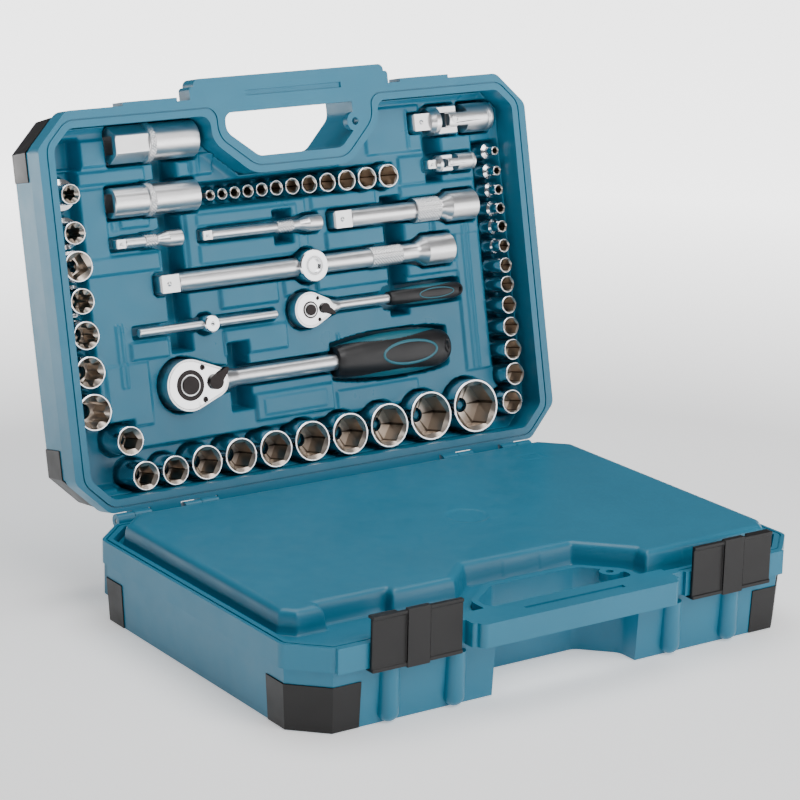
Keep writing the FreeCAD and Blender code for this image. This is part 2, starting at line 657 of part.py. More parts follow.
RATCHETS = {
    "half": dict(axis=(-99.6, 83.8), mid=-25.5, head=18.5, neck=11.0, pivot=20.4, thick=20.0,
                 gear=12.4, teeth=36, square=HALF_SQUARE, square_length=12.8, shaft=6.2,
                 grip=(127.5, 101.0, 16.8, 12.6), screws=((11.0, 11.5), (11.0, -11.5)),
                 lever=(40.0, 14.6), button=6.6, ball=2.2, screw=1.9),
    "quarter": dict(axis=(6.9, 125.0), mid=-22.5, head=13.0, neck=7.6, pivot=12.1, thick=11.0,
                    gear=7.4, teeth=30, square=QUARTER_SQUARE, square_length=7.0, shaft=3.6,
                    grip=(71.5, 66.0, 8.8, 7.8), screws=((7.0, 7.8), (7.0, -7.8)),
                    lever=(-31.0, 10.2), button=4.0, ball=1.0, screw=1.3),
}


def make_ratchet(name, spec):
    """Ratchet along +X with its drive axis at the origin and its cover plate on top."""
    top = spec["thick"] / 2
    plate = 1.6 if name == "half" else 1.2
    floor = 3.2 if name == "half" else 2.0
    place = TRAY_PLACE.multiply(Placement(Vector(*spec["axis"], spec["mid"]), Rotation()))
    pivot = spec["pivot"]
    grip_start, grip_length, grip_y, grip_z = spec["grip"]
    core_radius = spec["shaft"] * 0.8

    head = pear(spec["head"], spec["neck"], pivot, -top, top)
    root = pivot + spec["neck"] * 0.6
    neck_end = root + spec["neck"] * 1.5
    neck = cone(spec["neck"] * 0.86, spec["shaft"], (root, 0, 0), (neck_end, 0, 0))
    neck = neck.common(box(root, neck_end, -50, 50, -top + 0.6, top - 0.6))
    shaft = cylinder(spec["shaft"], (neck_end - 0.5, 0, 0), (grip_start, 0, 0))
    tang = cylinder(core_radius, (grip_start - 1, 0, 0), (grip_start + grip_length * 0.6, 0, 0))
    body = head.fuse(neck).fuse(shaft).fuse(tang)
    cavity = cylinder(spec["gear"] + 0.4, (0, 0, -top + floor), (0, 0, top - plate + 0.1))
    pawl_room = spec["neck"] * 0.72
    cavity = cavity.fuse(cylinder(pawl_room, (pivot, 0, -top + floor), (pivot, 0, top - plate + 0.1)))
    cavity = cavity.fuse(pear(spec["head"], spec["neck"], pivot, top - plate, top + 1, 1.3))
    anvil_radius = spec["square"] * 0.74
    cavity = cavity.fuse(cylinder(anvil_radius + 0.06, (0, 0, -top - 1), (0, 0, 0)))
    screw_holes = [cylinder(spec["screw"] * 0.6, (x, y, -top + floor), (x, y, top))
                   for x, y in spec["screws"]]
    body = body.cut(fuse_all([cavity] + screw_holes)).removeSplitter()
    save("ratchet_%s_body" % name, body, place)

    cover = pear(spec["head"], spec["neck"], pivot, top - plate, top + 0.2, 1.35)
    stem = spec["neck"] * 0.36
    holes = [cylinder(spec["button"] + 1.2, (0, 0, 0), (0, 0, top + 2)),
             cylinder(stem + 0.06, (pivot, 0, 0), (pivot, 0, top + 2))]
    for x, y in spec["screws"]:
        holes.append(cylinder(spec["screw"] + 0.05, (x, y, 0), (x, y, top + 2)))
    save("ratchet_%s_cover_plate" % name, cover.cut(fuse_all(holes)), place)

    screws = []
    for x, y in spec["screws"]:
        screw = cylinder(spec["screw"], (x, y, top - plate), (x, y, top + 0.1))
        screw = screw.fuse(cylinder(spec["screw"] * 0.6, (x, y, top - plate - 4.5), (x, y, top)))
        slot = hexagon(spec["screw"] * 0.9, top - 0.8, top + 1)
        screws.append(screw.cut(moved(slot, x, y, 0)))
    save("ratchet_%s_cover_screws" % name, screws, place)

    gear = toothed(spec["teeth"], spec["gear"], 0.9, -top + floor + 0.1, top - plate - 0.1)
    hub = cylinder(spec["button"] + 1.14, (0, 0, 0), (0, 0, top + 0.6))
    anvil = cylinder(anvil_radius, (0, 0, -top - 0.4), (0, 0, 0))
    drive = square_bar(spec["square"], -top - spec["square_length"], -top)
    well = cylinder(spec["button"] + 0.06, (0, 0, top - 3.2), (0, 0, top + 2))
    rod_bore = cylinder(spec["square"] * 0.2, (0, 0, -top - spec["square_length"] + 2),
                        (0, 0, top))
    ball_z = -top - spec["square_length"] * 0.55
    ball = Part.makeSphere(spec["ball"], Vector(spec["square"] / 2 - spec["ball"] * 0.6, 0, ball_z))
    gear = gear.multiFuse([hub, anvil, drive]).cut(well).cut(rod_bore).cut(ball)
    save("ratchet_%s_drive_gear" % name, [gear.removeSplitter(), ball], place)

    rod = cylinder(spec["square"] * 0.2 - 0.3, (0, 0, -top - spec["square_length"] + 4.5),
                   (0, 0, top))
    button = cylinder(spec["button"], (0, 0, top - 1.2), (0, 0, top + 1.7))
    save("ratchet_%s_release_button" % name, button.fuse(rod).removeSplitter(), place)

    pawl_radius = pivot - spec["gear"] - 0.5
    pawl = cylinder(pawl_radius, (pivot, 0, -top + floor + 0.2), (pivot, 0, top - plate - 0.3))
    pawl = pawl.cut(box(pivot + pawl_radius * 0.55, pivot + 20, -20, 20, -top, top))
    pawl = pawl.cut(cylinder(stem, (pivot, 0, top - plate - 3.0), (pivot, 0, top)))
    save("ratchet_%s_pawl" % name, pawl, place)

    angle, reach = spec["lever"]
    rise = 2.4 if name == "half" else 1.7
    hub_radius = spec["neck"] * 0.5
    lever = cylinder(hub_radius, (0, 0, top + 0.5), (0, 0, top + 0.5 + rise))
    tip = hub_radius * 0.45
    finger = taper([(0, -hub_radius * 0.9), (reach - tip, -tip), (reach, 0), (reach - tip, tip),
                    (0, hub_radius * 0.9)], top + 0.5,
                   [(0, -hub_radius * 0.8), (reach - tip, -tip * 0.7), (reach - 0.6, 0),
                    (reach - tip, tip * 0.7), (0, hub_radius * 0.8)], top + 0.5 + rise * 0.8)
    spindle = cylinder(stem, (0, 0, top - plate - 3.0), (0, 0, top + 1))
    lever = lever.fuse(finger).fuse(spindle).removeSplitter()
    save("ratchet_%s_reversing_lever" % name, moved(lever, pivot, 0, 0, angle=angle), place)

    form = grip_form(grip_start, grip_length, grip_y, grip_z)
    inner = grip_form(grip_start, grip_length, grip_y, grip_z, -1.6)
    tang_hole = cylinder(core_radius, (grip_start - 2, 0, 0), (grip_start + grip_length * 0.6, 0, 0))
    side_line = grip_y * 0.84
    strips = form.cut(box(grip_start - 1, grip_start + grip_length + 1, -side_line, side_line,
                          -50, 50))
    middle = grip_start + grip_length * 0.53
    ring = oval_ring(middle, grip_length * 0.235, grip_y * 0.52, grip_y * 0.09)
    ring = ring.common(form)
    end_hole = cylinder(grip_z * 0.3, (grip_start + grip_length - 9, 0, 0),
                        (grip_start + grip_length + 1, 0, 0))
    core = inner.multiFuse([strips, ring]).cut(tang_hole).cut(end_hole)
    core = max(core.Solids, key=lambda s: s.Volume)
    cover = form.cut(inner).cut(strips).cut(ring).cut(tang_hole).cut(end_hole)
    save("ratchet_%s_grip_core" % name, core, place)
    save("ratchet_%s_grip_cover" % name, cover, place)

    x, y = spec["axis"]
    low = spec["mid"] - top
    pockets = [
        ("round", x, y, spec["head"] + POCKET_GAP + 0.4, low - 0.4),
        ("round", x, y, spec["square"] * 0.74 + 0.8, low - spec["square_length"] - 0.2),
        ("box", x, x + pivot + spec["neck"] * 2.2, y - spec["neck"] * 1.45,
         y + spec["neck"] * 1.45, low - 0.4),
        ("box", x + pivot, x + grip_start, y - spec["shaft"] - 1, y + spec["shaft"] + 1,
         spec["mid"] - spec["shaft"] - 0.4),
        ("grip", x + grip_start, grip_length, y, grip_y, spec["mid"] - grip_z - 0.6),
    ]
    return pockets


def oval_ring(x, half_x, half_y, width):
    """Standing elliptic ring, from the middle plane up."""
    def solid(grow):
        ellipse = Part.Ellipse(Vector(x + half_x + grow, 0, 0), Vector(x, half_y + grow, 0),
                               Vector(x, 0, 0))
        return Part.Face(Part.Wire([ellipse.toShape()])).extrude(Vector(0, 0, 40))
    return solid(width).cut(solid(0))


# ---------------------------------------------------------------- lying tools
def along_x(solid):
    """Turn a solid made along +Z so that it lies along +X."""
    return moved(solid, 0, 0, 0, Vector(0, 1, 0), 90)


def drive_square(side, length, ball_radius):
    """Square drive along X from 0, and its detent ball on the upper face."""
    half = side / 2
    solid = box(0, length, -half, half, -half, half)
    ends = [e for e in solid.Edges if e.CenterOfMass.x < 0.01]
    solid = solid.makeChamfer(side * 0.09, ends)
    ball = Part.makeSphere(ball_radius, Vector(length * 0.45, 0, half - ball_radius * 0.62))
    return solid.cut(ball), ball


BARS = {
    "extension_bar_half_250": dict(start=-112.6, height=156.8, length=252.0, square=HALF_SQUARE,
                                   shaft=6.9, end=11.5, end_length=27.0, knurl=(0.71, 0.82),
                                   mid=-25.0, ball=2.2),
    "extension_bar_half_125": dict(start=36.6, height=187.6, length=128.0, square=HALF_SQUARE,
                                   shaft=6.9, end=11.5, end_length=27.0, knurl=(0.57, 0.74),
                                   mid=-25.0, ball=2.2),
    "extension_bar_quarter_100": dict(start=-74.5, height=187.6, length=100.0,
                                      square=QUARTER_SQUARE, shaft=3.7, end=6.0, end_length=14.0,
                                      knurl=(0.62, 0.76), mid=-22.0, ball=1.2),
    "extension_bar_quarter_50": dict(start=-144.0, height=188.6, length=53.0,
                                     square=QUARTER_SQUARE, shaft=3.7, end=6.0, end_length=14.0,
                                     knurl=(0.44, 0.62), mid=-22.0, ball=1.2),
}


def make_bar(name, spec):
    """Extension bar: drive square, shaft, knurled collar, and a square socket at the end."""
    length, square = spec["length"], spec["square"]
    square_length = square * 1.2
    drive, ball = drive_square(square, square_length, spec["ball"])
    shaft = along_x(turned([(spec["shaft"], square_length, length - spec["end_length"])]))
    knurl_start, knurl_end = (length * part for part in spec["knurl"])
    knurl = along_x(turned([(spec["shaft"] + 0.45, knurl_start, knurl_end)]))
    end_start = length - spec["end_length"]
    shoulder = cone(spec["shaft"] - 0.3, spec["end"], (end_start - 6, 0, 0), (end_start + 3, 0, 0))
    end = along_x(turned([(spec["end"], end_start + 2, length)]))
    half = square / 2 + 0.08
    hole = box(length - square * 1.2, length + 1, -half, half, -half, half)
    bar = drive.multiFuse([shaft, knurl, shoulder, end]).cut(hole).cut(ball).removeSplitter()
    place = TRAY_PLACE.multiply(Placement(Vector(spec["start"], spec["height"], spec["mid"]),
                                          Rotation()))
    save(name, [bar, ball], place)
    x, y, mid = spec["start"], spec["height"], spec["mid"]
    slim = spec["shaft"] + 1.0
    return [("box", x - 0.8, x + length, y - slim, y + slim, mid - slim),
            ("box", x + end_start - 6, x + length + 0.8, y - spec["end"] - 0.6,
             y + spec["end"] + 0.6, mid - spec["end"] - 0.5)]


TEE = dict(start=-133.0, height=125.0, length=113.5, radius=3.0, mid=-21.5, head=6.2, ball=1.0)
SLIDER = dict(x=12.9, height=156.8, mid=-25.0, radius=12.0, rise=10.6)


def make_tee():
    """Sliding T-handle for quarter-inch sockets: a round bar through a drive head."""
    x, y, mid = TEE["start"], TEE["height"], TEE["mid"]
    bar = along_x(turned([(TEE["radius"], 0, TEE["length"])]))
    balls = [Part.makeSphere(TEE["ball"], Vector(at, 0, -TEE["radius"] + 0.35))
             for at in (5.0, TEE["length"] - 5.0)]
    place = TRAY_PLACE.multiply(Placement(Vector(x, y, mid), Rotation()))
    save("tee_bar_quarter", [bar.cut(fuse_all(balls))] + balls, place)

    head = turned([(TEE["head"], -6.0, 6.4)])
    head = head.fuse(square_bar(QUARTER_SQUARE, -13.5, -5.0))
    head = head.cut(cylinder(TEE["radius"] + RUNNING_GAP, (-20, 0, 0), (20, 0, 0)))
    head = head.cut(cylinder(1.6, (0, 0, 3.5), (0, 0, 10))).removeSplitter()
    middle = TEE["length"] / 2
    place = TRAY_PLACE.multiply(Placement(Vector(x + middle, y, mid), Rotation()))
    save("tee_head_quarter", head, place)
    slim = TEE["radius"] + 1.6
    reach = TEE["head"] + 3.0
    return [("box", x - 0.8, x + TEE["length"] + 0.8, y - slim, y + slim, mid - slim),
            ("box", x + middle - reach, x + middle + reach, y - TEE["head"] - 0.6,
             y + TEE["head"] + 0.6, mid - 14.0)]


def make_slider():
    """Sliding T-head on the long half-inch bar."""
    spec = SLIDER
    head = turned([(spec["radius"], -spec["rise"], spec["rise"])])
    head = head.fuse(square_bar(HALF_SQUARE, -spec["rise"] - 11.5, -spec["rise"] + 1))
    shaft_radius = BARS["extension_bar_half_250"]["shaft"]
    head = head.cut(cylinder(shaft_radius + RUNNING_GAP, (-20, 0, 0), (20, 0, 0)))
    head = head.cut(cylinder(5.2, (0, 0, 8.4), (0, 0, 20)))
    x, y, mid = spec["x"], spec["height"], spec["mid"]
    place = TRAY_PLACE.multiply(Placement(Vector(x, y, mid), Rotation()))
    save("tee_head_half", head.removeSplitter(), place)
    reach = spec["radius"] + 3.0
    return [("box", x - reach, x + reach, y - spec["radius"] - 0.6, y + spec["radius"] + 0.6,
             mid - spec["rise"] - 12.0)]


UNIVERSAL_SWING = 5.0         # degrees the drive yoke can swing sideways in its pocket
JOINTS = {
    "half": dict(x=149.5, height=252.5, mid=-25.0, radius=11.0, socket_end=36.0, drive_end=35.0,
                 square=HALF_SQUARE, ball=2.2),
    "quarter": dict(x=143.5, height=220.4, mid=-22.0, radius=6.4, socket_end=23.0, drive_end=19.5,
                    square=QUARTER_SQUARE, ball=1.2),
}


def make_universal(name, spec):
    """Universal joint along X: socket yoke, cross and drive yoke, centred on the cross."""
    r = spec["radius"]
    ear = 0.45 * r
    gap = 0.48 * r + 0.35
    base = 1.12 * r
    trunnion = 0.2 * r
    place = TRAY_PLACE.multiply(Placement(Vector(spec["x"], spec["height"], spec["mid"]),
                                          Rotation()))
    cube = box(-0.48 * r, 0.48 * r, -0.48 * r, 0.48 * r, -0.48 * r, 0.48 * r)
    cross = cube.fuse(cylinder(trunnion, (0, -r * 0.96, 0), (0, r * 0.96, 0)))
    cross = cross.fuse(cylinder(trunnion, (0, 0, -r * 0.96), (0, 0, r * 0.96)))
    save("universal_%s_cross" % name, cross.removeSplitter(), place)

    barrel = cylinder(r, (-ear, 0, 0), (spec["socket_end"], 0, 0))
    ears = barrel.common(box(-ear, base, -ear, ear, -r, r)).cut(box(-ear - 1, base, -r, r, -gap, gap))
    base_part = cylinder(r, (base - 0.01, 0, 0), (spec["socket_end"], 0, 0))
    half = spec["square"] / 2 + 0.08
    hole = box(spec["socket_end"] - spec["square"] * 1.2, spec["socket_end"] + 1,
               -half, half, -half, half)
    bore = cylinder(trunnion, (0, 0, -r - 1), (0, 0, r + 1))
    groove = cylinder(r + 1, (spec["socket_end"] - 0.5 * r, 0, 0),
                      (spec["socket_end"] - 0.32 * r, 0, 0))
    groove = groove.cut(cylinder(r - 0.5, (0, 0, 0), (spec["socket_end"] + 1, 0, 0)))
    yoke = base_part.fuse(ears).cut(hole).cut(bore).cut(groove)
    save("universal_%s_socket_yoke" % name, yoke.removeSplitter(), place)

    barrel = cylinder(r, (-base, 0, 0), (ear, 0, 0))
    ears = barrel.common(box(-base, ear, -r, r, -ear, ear)).cut(box(-base, ear + 1, -gap, gap, -r, r))
    neck_end = -(spec["drive_end"] - spec["square"] * 1.2)
    base_part = cone(spec["square"] * 0.72, r, (neck_end - 0.2, 0, 0), (-base - r * 0.35, 0, 0))
    base_part = base_part.fuse(cylinder(r, (-base - r * 0.36, 0, 0), (-base + 0.01, 0, 0)))
    drive, ball = drive_square(spec["square"], spec["square"] * 1.2 + 0.5, spec["ball"])
    shift = Vector(-spec["drive_end"], 0, 0)
    drive.translate(shift)
    ball.translate(shift)
    bore = cylinder(trunnion + RUNNING_GAP, (0, -r - 1, 0), (0, r + 1, 0))
    yoke = base_part.fuse(ears).fuse(drive).cut(bore).cut(ball)
    save("universal_%s_drive_yoke" % name, [yoke.removeSplitter(), ball], place)
    x, y, mid = spec["x"], spec["height"], spec["mid"]
    swing = r + 0.6 + spec["drive_end"] * math.sin(math.radians(UNIVERSAL_SWING))
    return [("box", x - 0.6 * r, x + spec["socket_end"] + 0.8, y - r - 0.6, y + r + 0.6,
             mid - r - 0.5),
            ("box", x - spec["drive_end"] - 1.6, x + r, y - swing, y + swing, mid - r - 0.5)]


PLUGS = {
    "spark_plug_socket_21": dict(start=-139.5, height=257.3, length=67.0, size=21.0, body=13.2,
                                 mid=-24.0, hexed=True),
    "spark_plug_socket_16": dict(start=-143.5, height=217.3, length=69.0, size=16.0, body=11.0,
                                 mid=-24.5, hexed=False),
}


def make_plug(name, spec):
    """Spark plug socket along X: hexagon mouth at the right, drive end at the left."""
    length, body = spec["length"], spec["body"]
    first = length * 0.4
    if spec["hexed"]:
        drive_end = hexagon(body * 1.78, 0, first)
        drive_end = drive_end.common(turned([(body, 0, first)]))
    else:
        drive_end = turned([(body - 0.3, 0, first)])
    solid = drive_end.fuse(turned([(body + 0.5, first - 0.5, first + 5)]))
    solid = solid.fuse(turned([(body, first + 4, length)]))
    drive = square_bar(HALF_SQUARE + 0.15, -1, 14)
    mouth = hexagon(spec["size"] + 0.1, length - 18, length + 1)
    room = cylinder(spec["size"] * 0.44, (0, 0, 18), (0, 0, length - 17))
    solid = solid.cut(drive).cut(mouth).cut(room)
    solid = solid.cut(cylinder(5.0, (0, 0, 10), (0, 0, 20))).removeSplitter()
    place = TRAY_PLACE.multiply(Placement(Vector(spec["start"], spec["height"], spec["mid"]),
                                          Rotation()))
    save(name, along_x(solid), place)
    ring = cylinder(spec["size"] * 0.44 - 0.05, (0, 0, 34), (0, 0, 44))
    ring = ring.cut(cylinder(spec["size"] * 0.3, (0, 0, 30), (0, 0, 50)))
    save(name.replace("socket", "holder_ring"), along_x(ring), place)
    x, y = spec["start"], spec["height"]
    return [("box", x - 0.8, x + length + 0.8, y - body - 0.9, y + body + 0.9,
             spec["mid"] - body - 0.9)]


# ---------------------------------------------------------------- tray liner
FINGER_TROUGHS = (                       # x from, x to, y from, y to, floor
    (-104.0, -88.0, 108.0, 262.0, -44.0),
    (-12.0, 2.0, 176.0, 199.0, -40.0),
    (84.0, 99.0, 112.0, 200.0, -44.0),
    (127.0, 140.0, 208.0, 262.0, -42.0),
    (-60.0, -44.0, 60.0, 108.0, -44.0),
)


def pocket_solid(pocket, grow):
    """Pocket cavity, or the same grown by the sheet for the wall around it."""
    kind = pocket[0]
    top = DECK + (1.0 if grow == 0 else 0.0)
    if kind == "round":
        _, x, y, radius, floor = pocket
        return cylinder(radius + grow, (x, y, floor - grow), (x, y, top))
    if kind == "grip":
        _, start, length, y, half_y, floor = pocket
        upper = []
        for t, k in GRIP_STATIONS:
            end = (1.2 + grow) * ((t == 1) - (t == 0))
            upper.append((start + length * t + end, half_y * k + 1.0 + grow))
        points = [(px, y + py) for px, py in upper] + [(px, y - py) for px, py in upper[::-1]]
        return prism(points, floor - grow, top)
    _, x0, x1, y0, y1, floor = pocket
    return box(x0 - grow, x1 + grow, y0 - grow, y1 + grow, floor - grow, top)


def make_liner(pockets):
    """Moulded sheet with a pocket for every tool."""
    sheet = prism(recess_outline(TRAY_WALL - 0.05), DECK - LINER_SHEET, DECK)
    tubs = [pocket_solid(pocket, LINER_SHEET) for pocket in pockets]
    rooms = [pocket_solid(pocket, 0.0) for pocket in pockets]
    liner = sheet.multiFuse(tubs).cut(rooms)
    solids = sorted(liner.Solids, key=lambda s: -s.Volume)
    save("tray_tool_liner", solids[0].removeSplitter(), TRAY_PLACE)


def main():
    make_cover()
    make_tray_wall()
    make_guards("cover_corner_guards", COVER_DEPTH, -1, COVER_PLACE)
    make_guards("tray_corner_guards", TRAY_DEPTH, 1, TRAY_PLACE)
    make_pins()
    for name, centre in LATCH_CENTRES.items():
        make_latch(name, centre)
    pockets = [("round",) + pocket for pocket in make_sockets()]
    for name, spec in RATCHETS.items():
        pockets += make_ratchet(name, spec)
    for name, spec in BARS.items():
        pockets += make_bar(name, spec)
    pockets += make_tee()
    pockets += make_slider()
    for name, spec in JOINTS.items():
        pockets += make_universal(name, spec)
    for name, spec in PLUGS.items():
        pockets += make_plug(name, spec)
    pockets += [("box",) + trough for trough in FINGER_TROUGHS]
    make_liner(pockets)


main()
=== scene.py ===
"""Looks for the socket wrench set: materials, moulded surfaces, lights and camera."""
import math

import bpy
import numpy as np
from mathutils import Matrix, Vector
from mathutils.bvhtree import BVHTree


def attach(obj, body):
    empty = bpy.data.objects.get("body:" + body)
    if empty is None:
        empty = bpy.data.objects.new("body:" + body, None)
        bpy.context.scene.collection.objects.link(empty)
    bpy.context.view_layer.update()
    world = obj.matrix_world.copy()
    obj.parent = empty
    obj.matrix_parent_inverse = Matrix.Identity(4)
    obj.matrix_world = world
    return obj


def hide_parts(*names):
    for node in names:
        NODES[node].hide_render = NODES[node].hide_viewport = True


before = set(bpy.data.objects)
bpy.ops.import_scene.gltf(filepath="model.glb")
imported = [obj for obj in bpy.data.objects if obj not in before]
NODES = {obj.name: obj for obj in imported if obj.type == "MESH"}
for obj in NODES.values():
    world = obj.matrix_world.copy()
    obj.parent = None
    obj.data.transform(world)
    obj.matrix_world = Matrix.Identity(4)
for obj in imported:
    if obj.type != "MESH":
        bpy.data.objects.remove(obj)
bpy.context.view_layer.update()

# ------------------------------------------------------------------ places
MM = 0.001
HINGE_Y, HINGE_Z = 144.5, 58.0
LEAN = math.radians(12.3)
COS, SIN = math.cos(LEAN), math.sin(LEAN)
DECK = -26.0


def tray_point(u, v, w):
    """Tray coordinates in mm (right, up the tray, out of the tray) to row-frame metres."""
    return ((u * MM), (HINGE_Y + v * SIN - w * COS) * MM, (HINGE_Z + v * COS + w * SIN) * MM)


def to_tray(points):
    """Row-frame points in metres, as an array, to tray coordinates in mm."""
    p = np.asarray(points, float) / MM
    y, z = p[:, 1] - HINGE_Y, p[:, 2] - HINGE_Z
    return np.stack([p[:, 0], y * SIN + z * COS, -y * COS + z * SIN], 1)


def vertices(name):
    mesh = NODES[name].data
    flat = np.empty(len(mesh.vertices) * 3)
    mesh.vertices.foreach_get("co", flat)
    return flat.reshape(-1, 3)


def islands(name):
    """Vertices, in tray mm, of each separate solid of one node."""
    local = to_tray(vertices(name))
    keys, inverse = np.unique(np.round(local, 2), axis=0, return_inverse=True)
    inverse = inverse.ravel()
    edges = np.array([edge.vertices[:] for edge in bpy.data.objects[name].data.edges])
    ends = inverse[edges]
    label = np.arange(len(keys))
    while True:
        lowest = np.minimum(label[ends[:, 0]], label[ends[:, 1]])
        merged = label.copy()
        np.minimum.at(merged, ends[:, 0], lowest)
        np.minimum.at(merged, ends[:, 1], lowest)
        merged = merged[merged]
        if np.array_equal(merged, label):
            break
        label = merged
    own = label[inverse]
    return [local[own == value] for value in np.unique(own)]


def standing(name, axis):
    """Centre, radii, foot and top, in tray mm, of the sockets that stand in one node."""
    found = []
    for part in islands(name):
        low, high = part.min(0), part.max(0)
        centre = (low + high) / 2
        reach = np.hypot(part[:, 0] - centre[0], part[:, 1] - centre[1])
        nose = reach[part[:, 2] > high[2] - 3.0].max()
        found.append((centre[0], centre[1], reach.max(), nose, low[2], high[2]))
    return sorted(found, key=lambda place: place[axis])


# ------------------------------------------------------------------ materials
def shader(name):
    material = bpy.data.materials.new(name)
    material.use_nodes = True
    tree = material.node_tree
    tree.nodes.clear()
    out = tree.nodes.new("ShaderNodeOutputMaterial")
    bsdf = tree.nodes.new("ShaderNodeBsdfPrincipled")
    tree.links.new(bsdf.outputs["BSDF"], out.inputs["Surface"])
    place = tree.nodes.new("ShaderNodeTexCoord")
    return material, tree, bsdf, place


def noise(tree, place, scale, detail=3.0, stretch=None):
    node = tree.nodes.new("ShaderNodeTexNoise")
    node.inputs["Scale"].default_value = scale
    node.inputs["Detail"].default_value = detail
    if stretch is None:
        tree.links.new(place.outputs["Object"], node.inputs["Vector"])
    else:
        mapping = tree.nodes.new("ShaderNodeMapping")
        mapping.inputs["Scale"].default_value = stretch
        tree.links.new(place.outputs["Object"], mapping.inputs["Vector"])
        tree.links.new(mapping.outputs["Vector"], node.inputs["Vector"])
    return node.outputs["Fac"]


def spread(tree, value, low, high, dark=0.3, light=0.7):
    node = tree.nodes.new("ShaderNodeMapRange")
    node.inputs["From Min"].default_value = dark
    node.inputs["From Max"].default_value = light
    node.inputs["To Min"].default_value = low
    node.inputs["To Max"].default_value = high
    tree.links.new(value, node.inputs["Value"])
    return node.outputs["Result"]


def tint(tree, value, color, other):
    node = tree.nodes.new("ShaderNodeMix")
    node.data_type = "RGBA"
    node.inputs[6].default_value = (*color, 1)
    node.inputs[7].default_value = (*other, 1)
    tree.links.new(value, node.inputs[0])
    return node.outputs[2]


def bumped(tree, bsdf, heights):
    """Chain of bumps: (height, strength, distance in metres) for each."""
    last = None
    for height, strength, distance in heights:
        node = tree.nodes.new("ShaderNodeBump")
        node.inputs["Strength"].default_value = strength
        node.inputs["Distance"].default_value = distance
        tree.links.new(height, node.inputs["Height"])
        if last is not None:
            tree.links.new(last, node.inputs["Normal"])
        last = node.outputs["Normal"]
    tree.links.new(last, bsdf.inputs["Normal"])


def plastic(name, color, rough, grain=0.12, edge_highlight=0.1, coat=0.0):
    """Moulded plastic: slow colour drift, fine grain, and a painted highlight that makes convex
    edges paler.
    """
    material, tree, bsdf, place = shader(name)
    drift = spread(tree, noise(tree, place, 9.0), 0.0, 1.0)
    darker = [c * 0.88 for c in color]
    base = tint(tree, drift, darker, color)
    # Painted highlight: convex edges, found by pointiness, are mixed towards a paler copy of the
    # colour.
    edge = tree.nodes.new("ShaderNodeNewGeometry").outputs["Pointiness"]
    painted_edge_highlight = spread(tree, edge, 0.0, edge_highlight, 0.52, 0.6)
    mix = tree.nodes.new("ShaderNodeMix")
    mix.data_type = "RGBA"
    mix.inputs[7].default_value = (*[min(1.0, c * 1.6 + 0.03) for c in color], 1)
    tree.links.new(painted_edge_highlight, mix.inputs[0])
    tree.links.new(base, mix.inputs[6])
    tree.links.new(mix.outputs[2], bsdf.inputs["Base Color"])
    tree.links.new(spread(tree, noise(tree, place, 60.0), rough - 0.05, rough + 0.07),
                   bsdf.inputs["Roughness"])
    bsdf.inputs["Specular IOR Level"].default_value = 0.42
    bsdf.inputs["Coat Weight"].default_value = coat
    bumped(tree, bsdf, [(noise(tree, place, 30.0, 2.0), 0.05, 0.002),
                        (noise(tree, place, 2600.0, 1.0), grain, 0.0001)])
    return material


def metal(name, color, rough, streak=(1, 1, 1), scratch=0.08, swing=0.05):
    """Plated steel: faint smudges in the finish and fine drawn lines."""
    material, tree, bsdf, place = shader(name)
    drift = spread(tree, noise(tree, place, 40.0, 4.0), 0.0, 1.0)
    tree.links.new(tint(tree, drift, [c * 0.95 for c in color], color), bsdf.inputs["Base Color"])
    bsdf.inputs["Metallic"].default_value = 1.0
    tree.links.new(spread(tree, noise(tree, place, 120.0, 5.0), rough - swing, rough + swing),
                   bsdf.inputs["Roughness"])
    bumped(tree, bsdf, [(noise(tree, place, 900.0, 2.0, streak), scratch, 0.0001)])
    return material


TEAL = (0.020, 0.180, 0.290)
M = {
    "teal": plastic("case_teal", TEAL, 0.34, 0.08, 0.06),
    "liner": plastic("tray_teal", TEAL, 0.32, 0.08, 0.06),
    "dark": plastic("dark_plastic", (0.006, 0.005, 0.005), 0.40, 0.12, 0.04),
    "grip": plastic("grip_black", (0.010, 0.009, 0.010), 0.36, 0.15, 0.03),
    "grip_teal": plastic("grip_teal", (0.020, 0.150, 0.200), 0.35, 0.08, 0.03),
    "rubber": plastic("holder_black", (0.008, 0.008, 0.008), 0.6, 0.2, 0.03),
    "polished": metal("polished_chrome", (0.86, 0.86, 0.87), 0.13, scratch=0.006, swing=0.02),
    "satin": metal("satin_chrome", (0.80, 0.79, 0.79), 0.31, (1, 6, 6), 0.012, 0.025),
    "socket": metal("socket_chrome", (0.82, 0.82, 0.83), 0.15, scratch=0.008, swing=0.03),
    "bore": metal("socket_bore", (0.56, 0.485, 0.415), 0.30, scratch=0.01, swing=0.02),
    # painted shade for the creases at the corners of hex openings
    "bore_corner_shade": metal("socket_bore_corner_shade", (0.16, 0.13, 0.105), 0.34, scratch=0.02, swing=0.02),
    "black_steel": metal("black_steel", (0.030, 0.026, 0.026), 0.36, scratch=0.02, swing=0.04),
    "pin": metal("pin_steel", (0.5, 0.5, 0.51), 0.3, (6, 1, 1), 0.01),
}


def dress(name, material, bevel=0.0, angle=32.0, segments=2):
    """Give a CAD node its material, smooth shading and softened edges."""
    node = NODES[name]
    node.data.materials.clear()
    node.data.materials.append(M[material])
    node.data.polygons.foreach_set("use_smooth", [True] * len(node.data.polygons))
    weld = node.modifiers.new("weld", "WELD")
    weld.merge_threshold = 0.00002
    if bevel:
        soften = node.modifiers.new("bevel", "BEVEL")
        soften.width = bevel * MM
        soften.segments = segments
        soften.limit_method = "ANGLE"
        soften.angle_limit = math.radians(angle)
        soften.use_clamp_overlap = True
    normals = node.modifiers.new("normals", "WEIGHTED_NORMAL")
    normals.keep_sharp = False
    normals.weight = 60
    return node


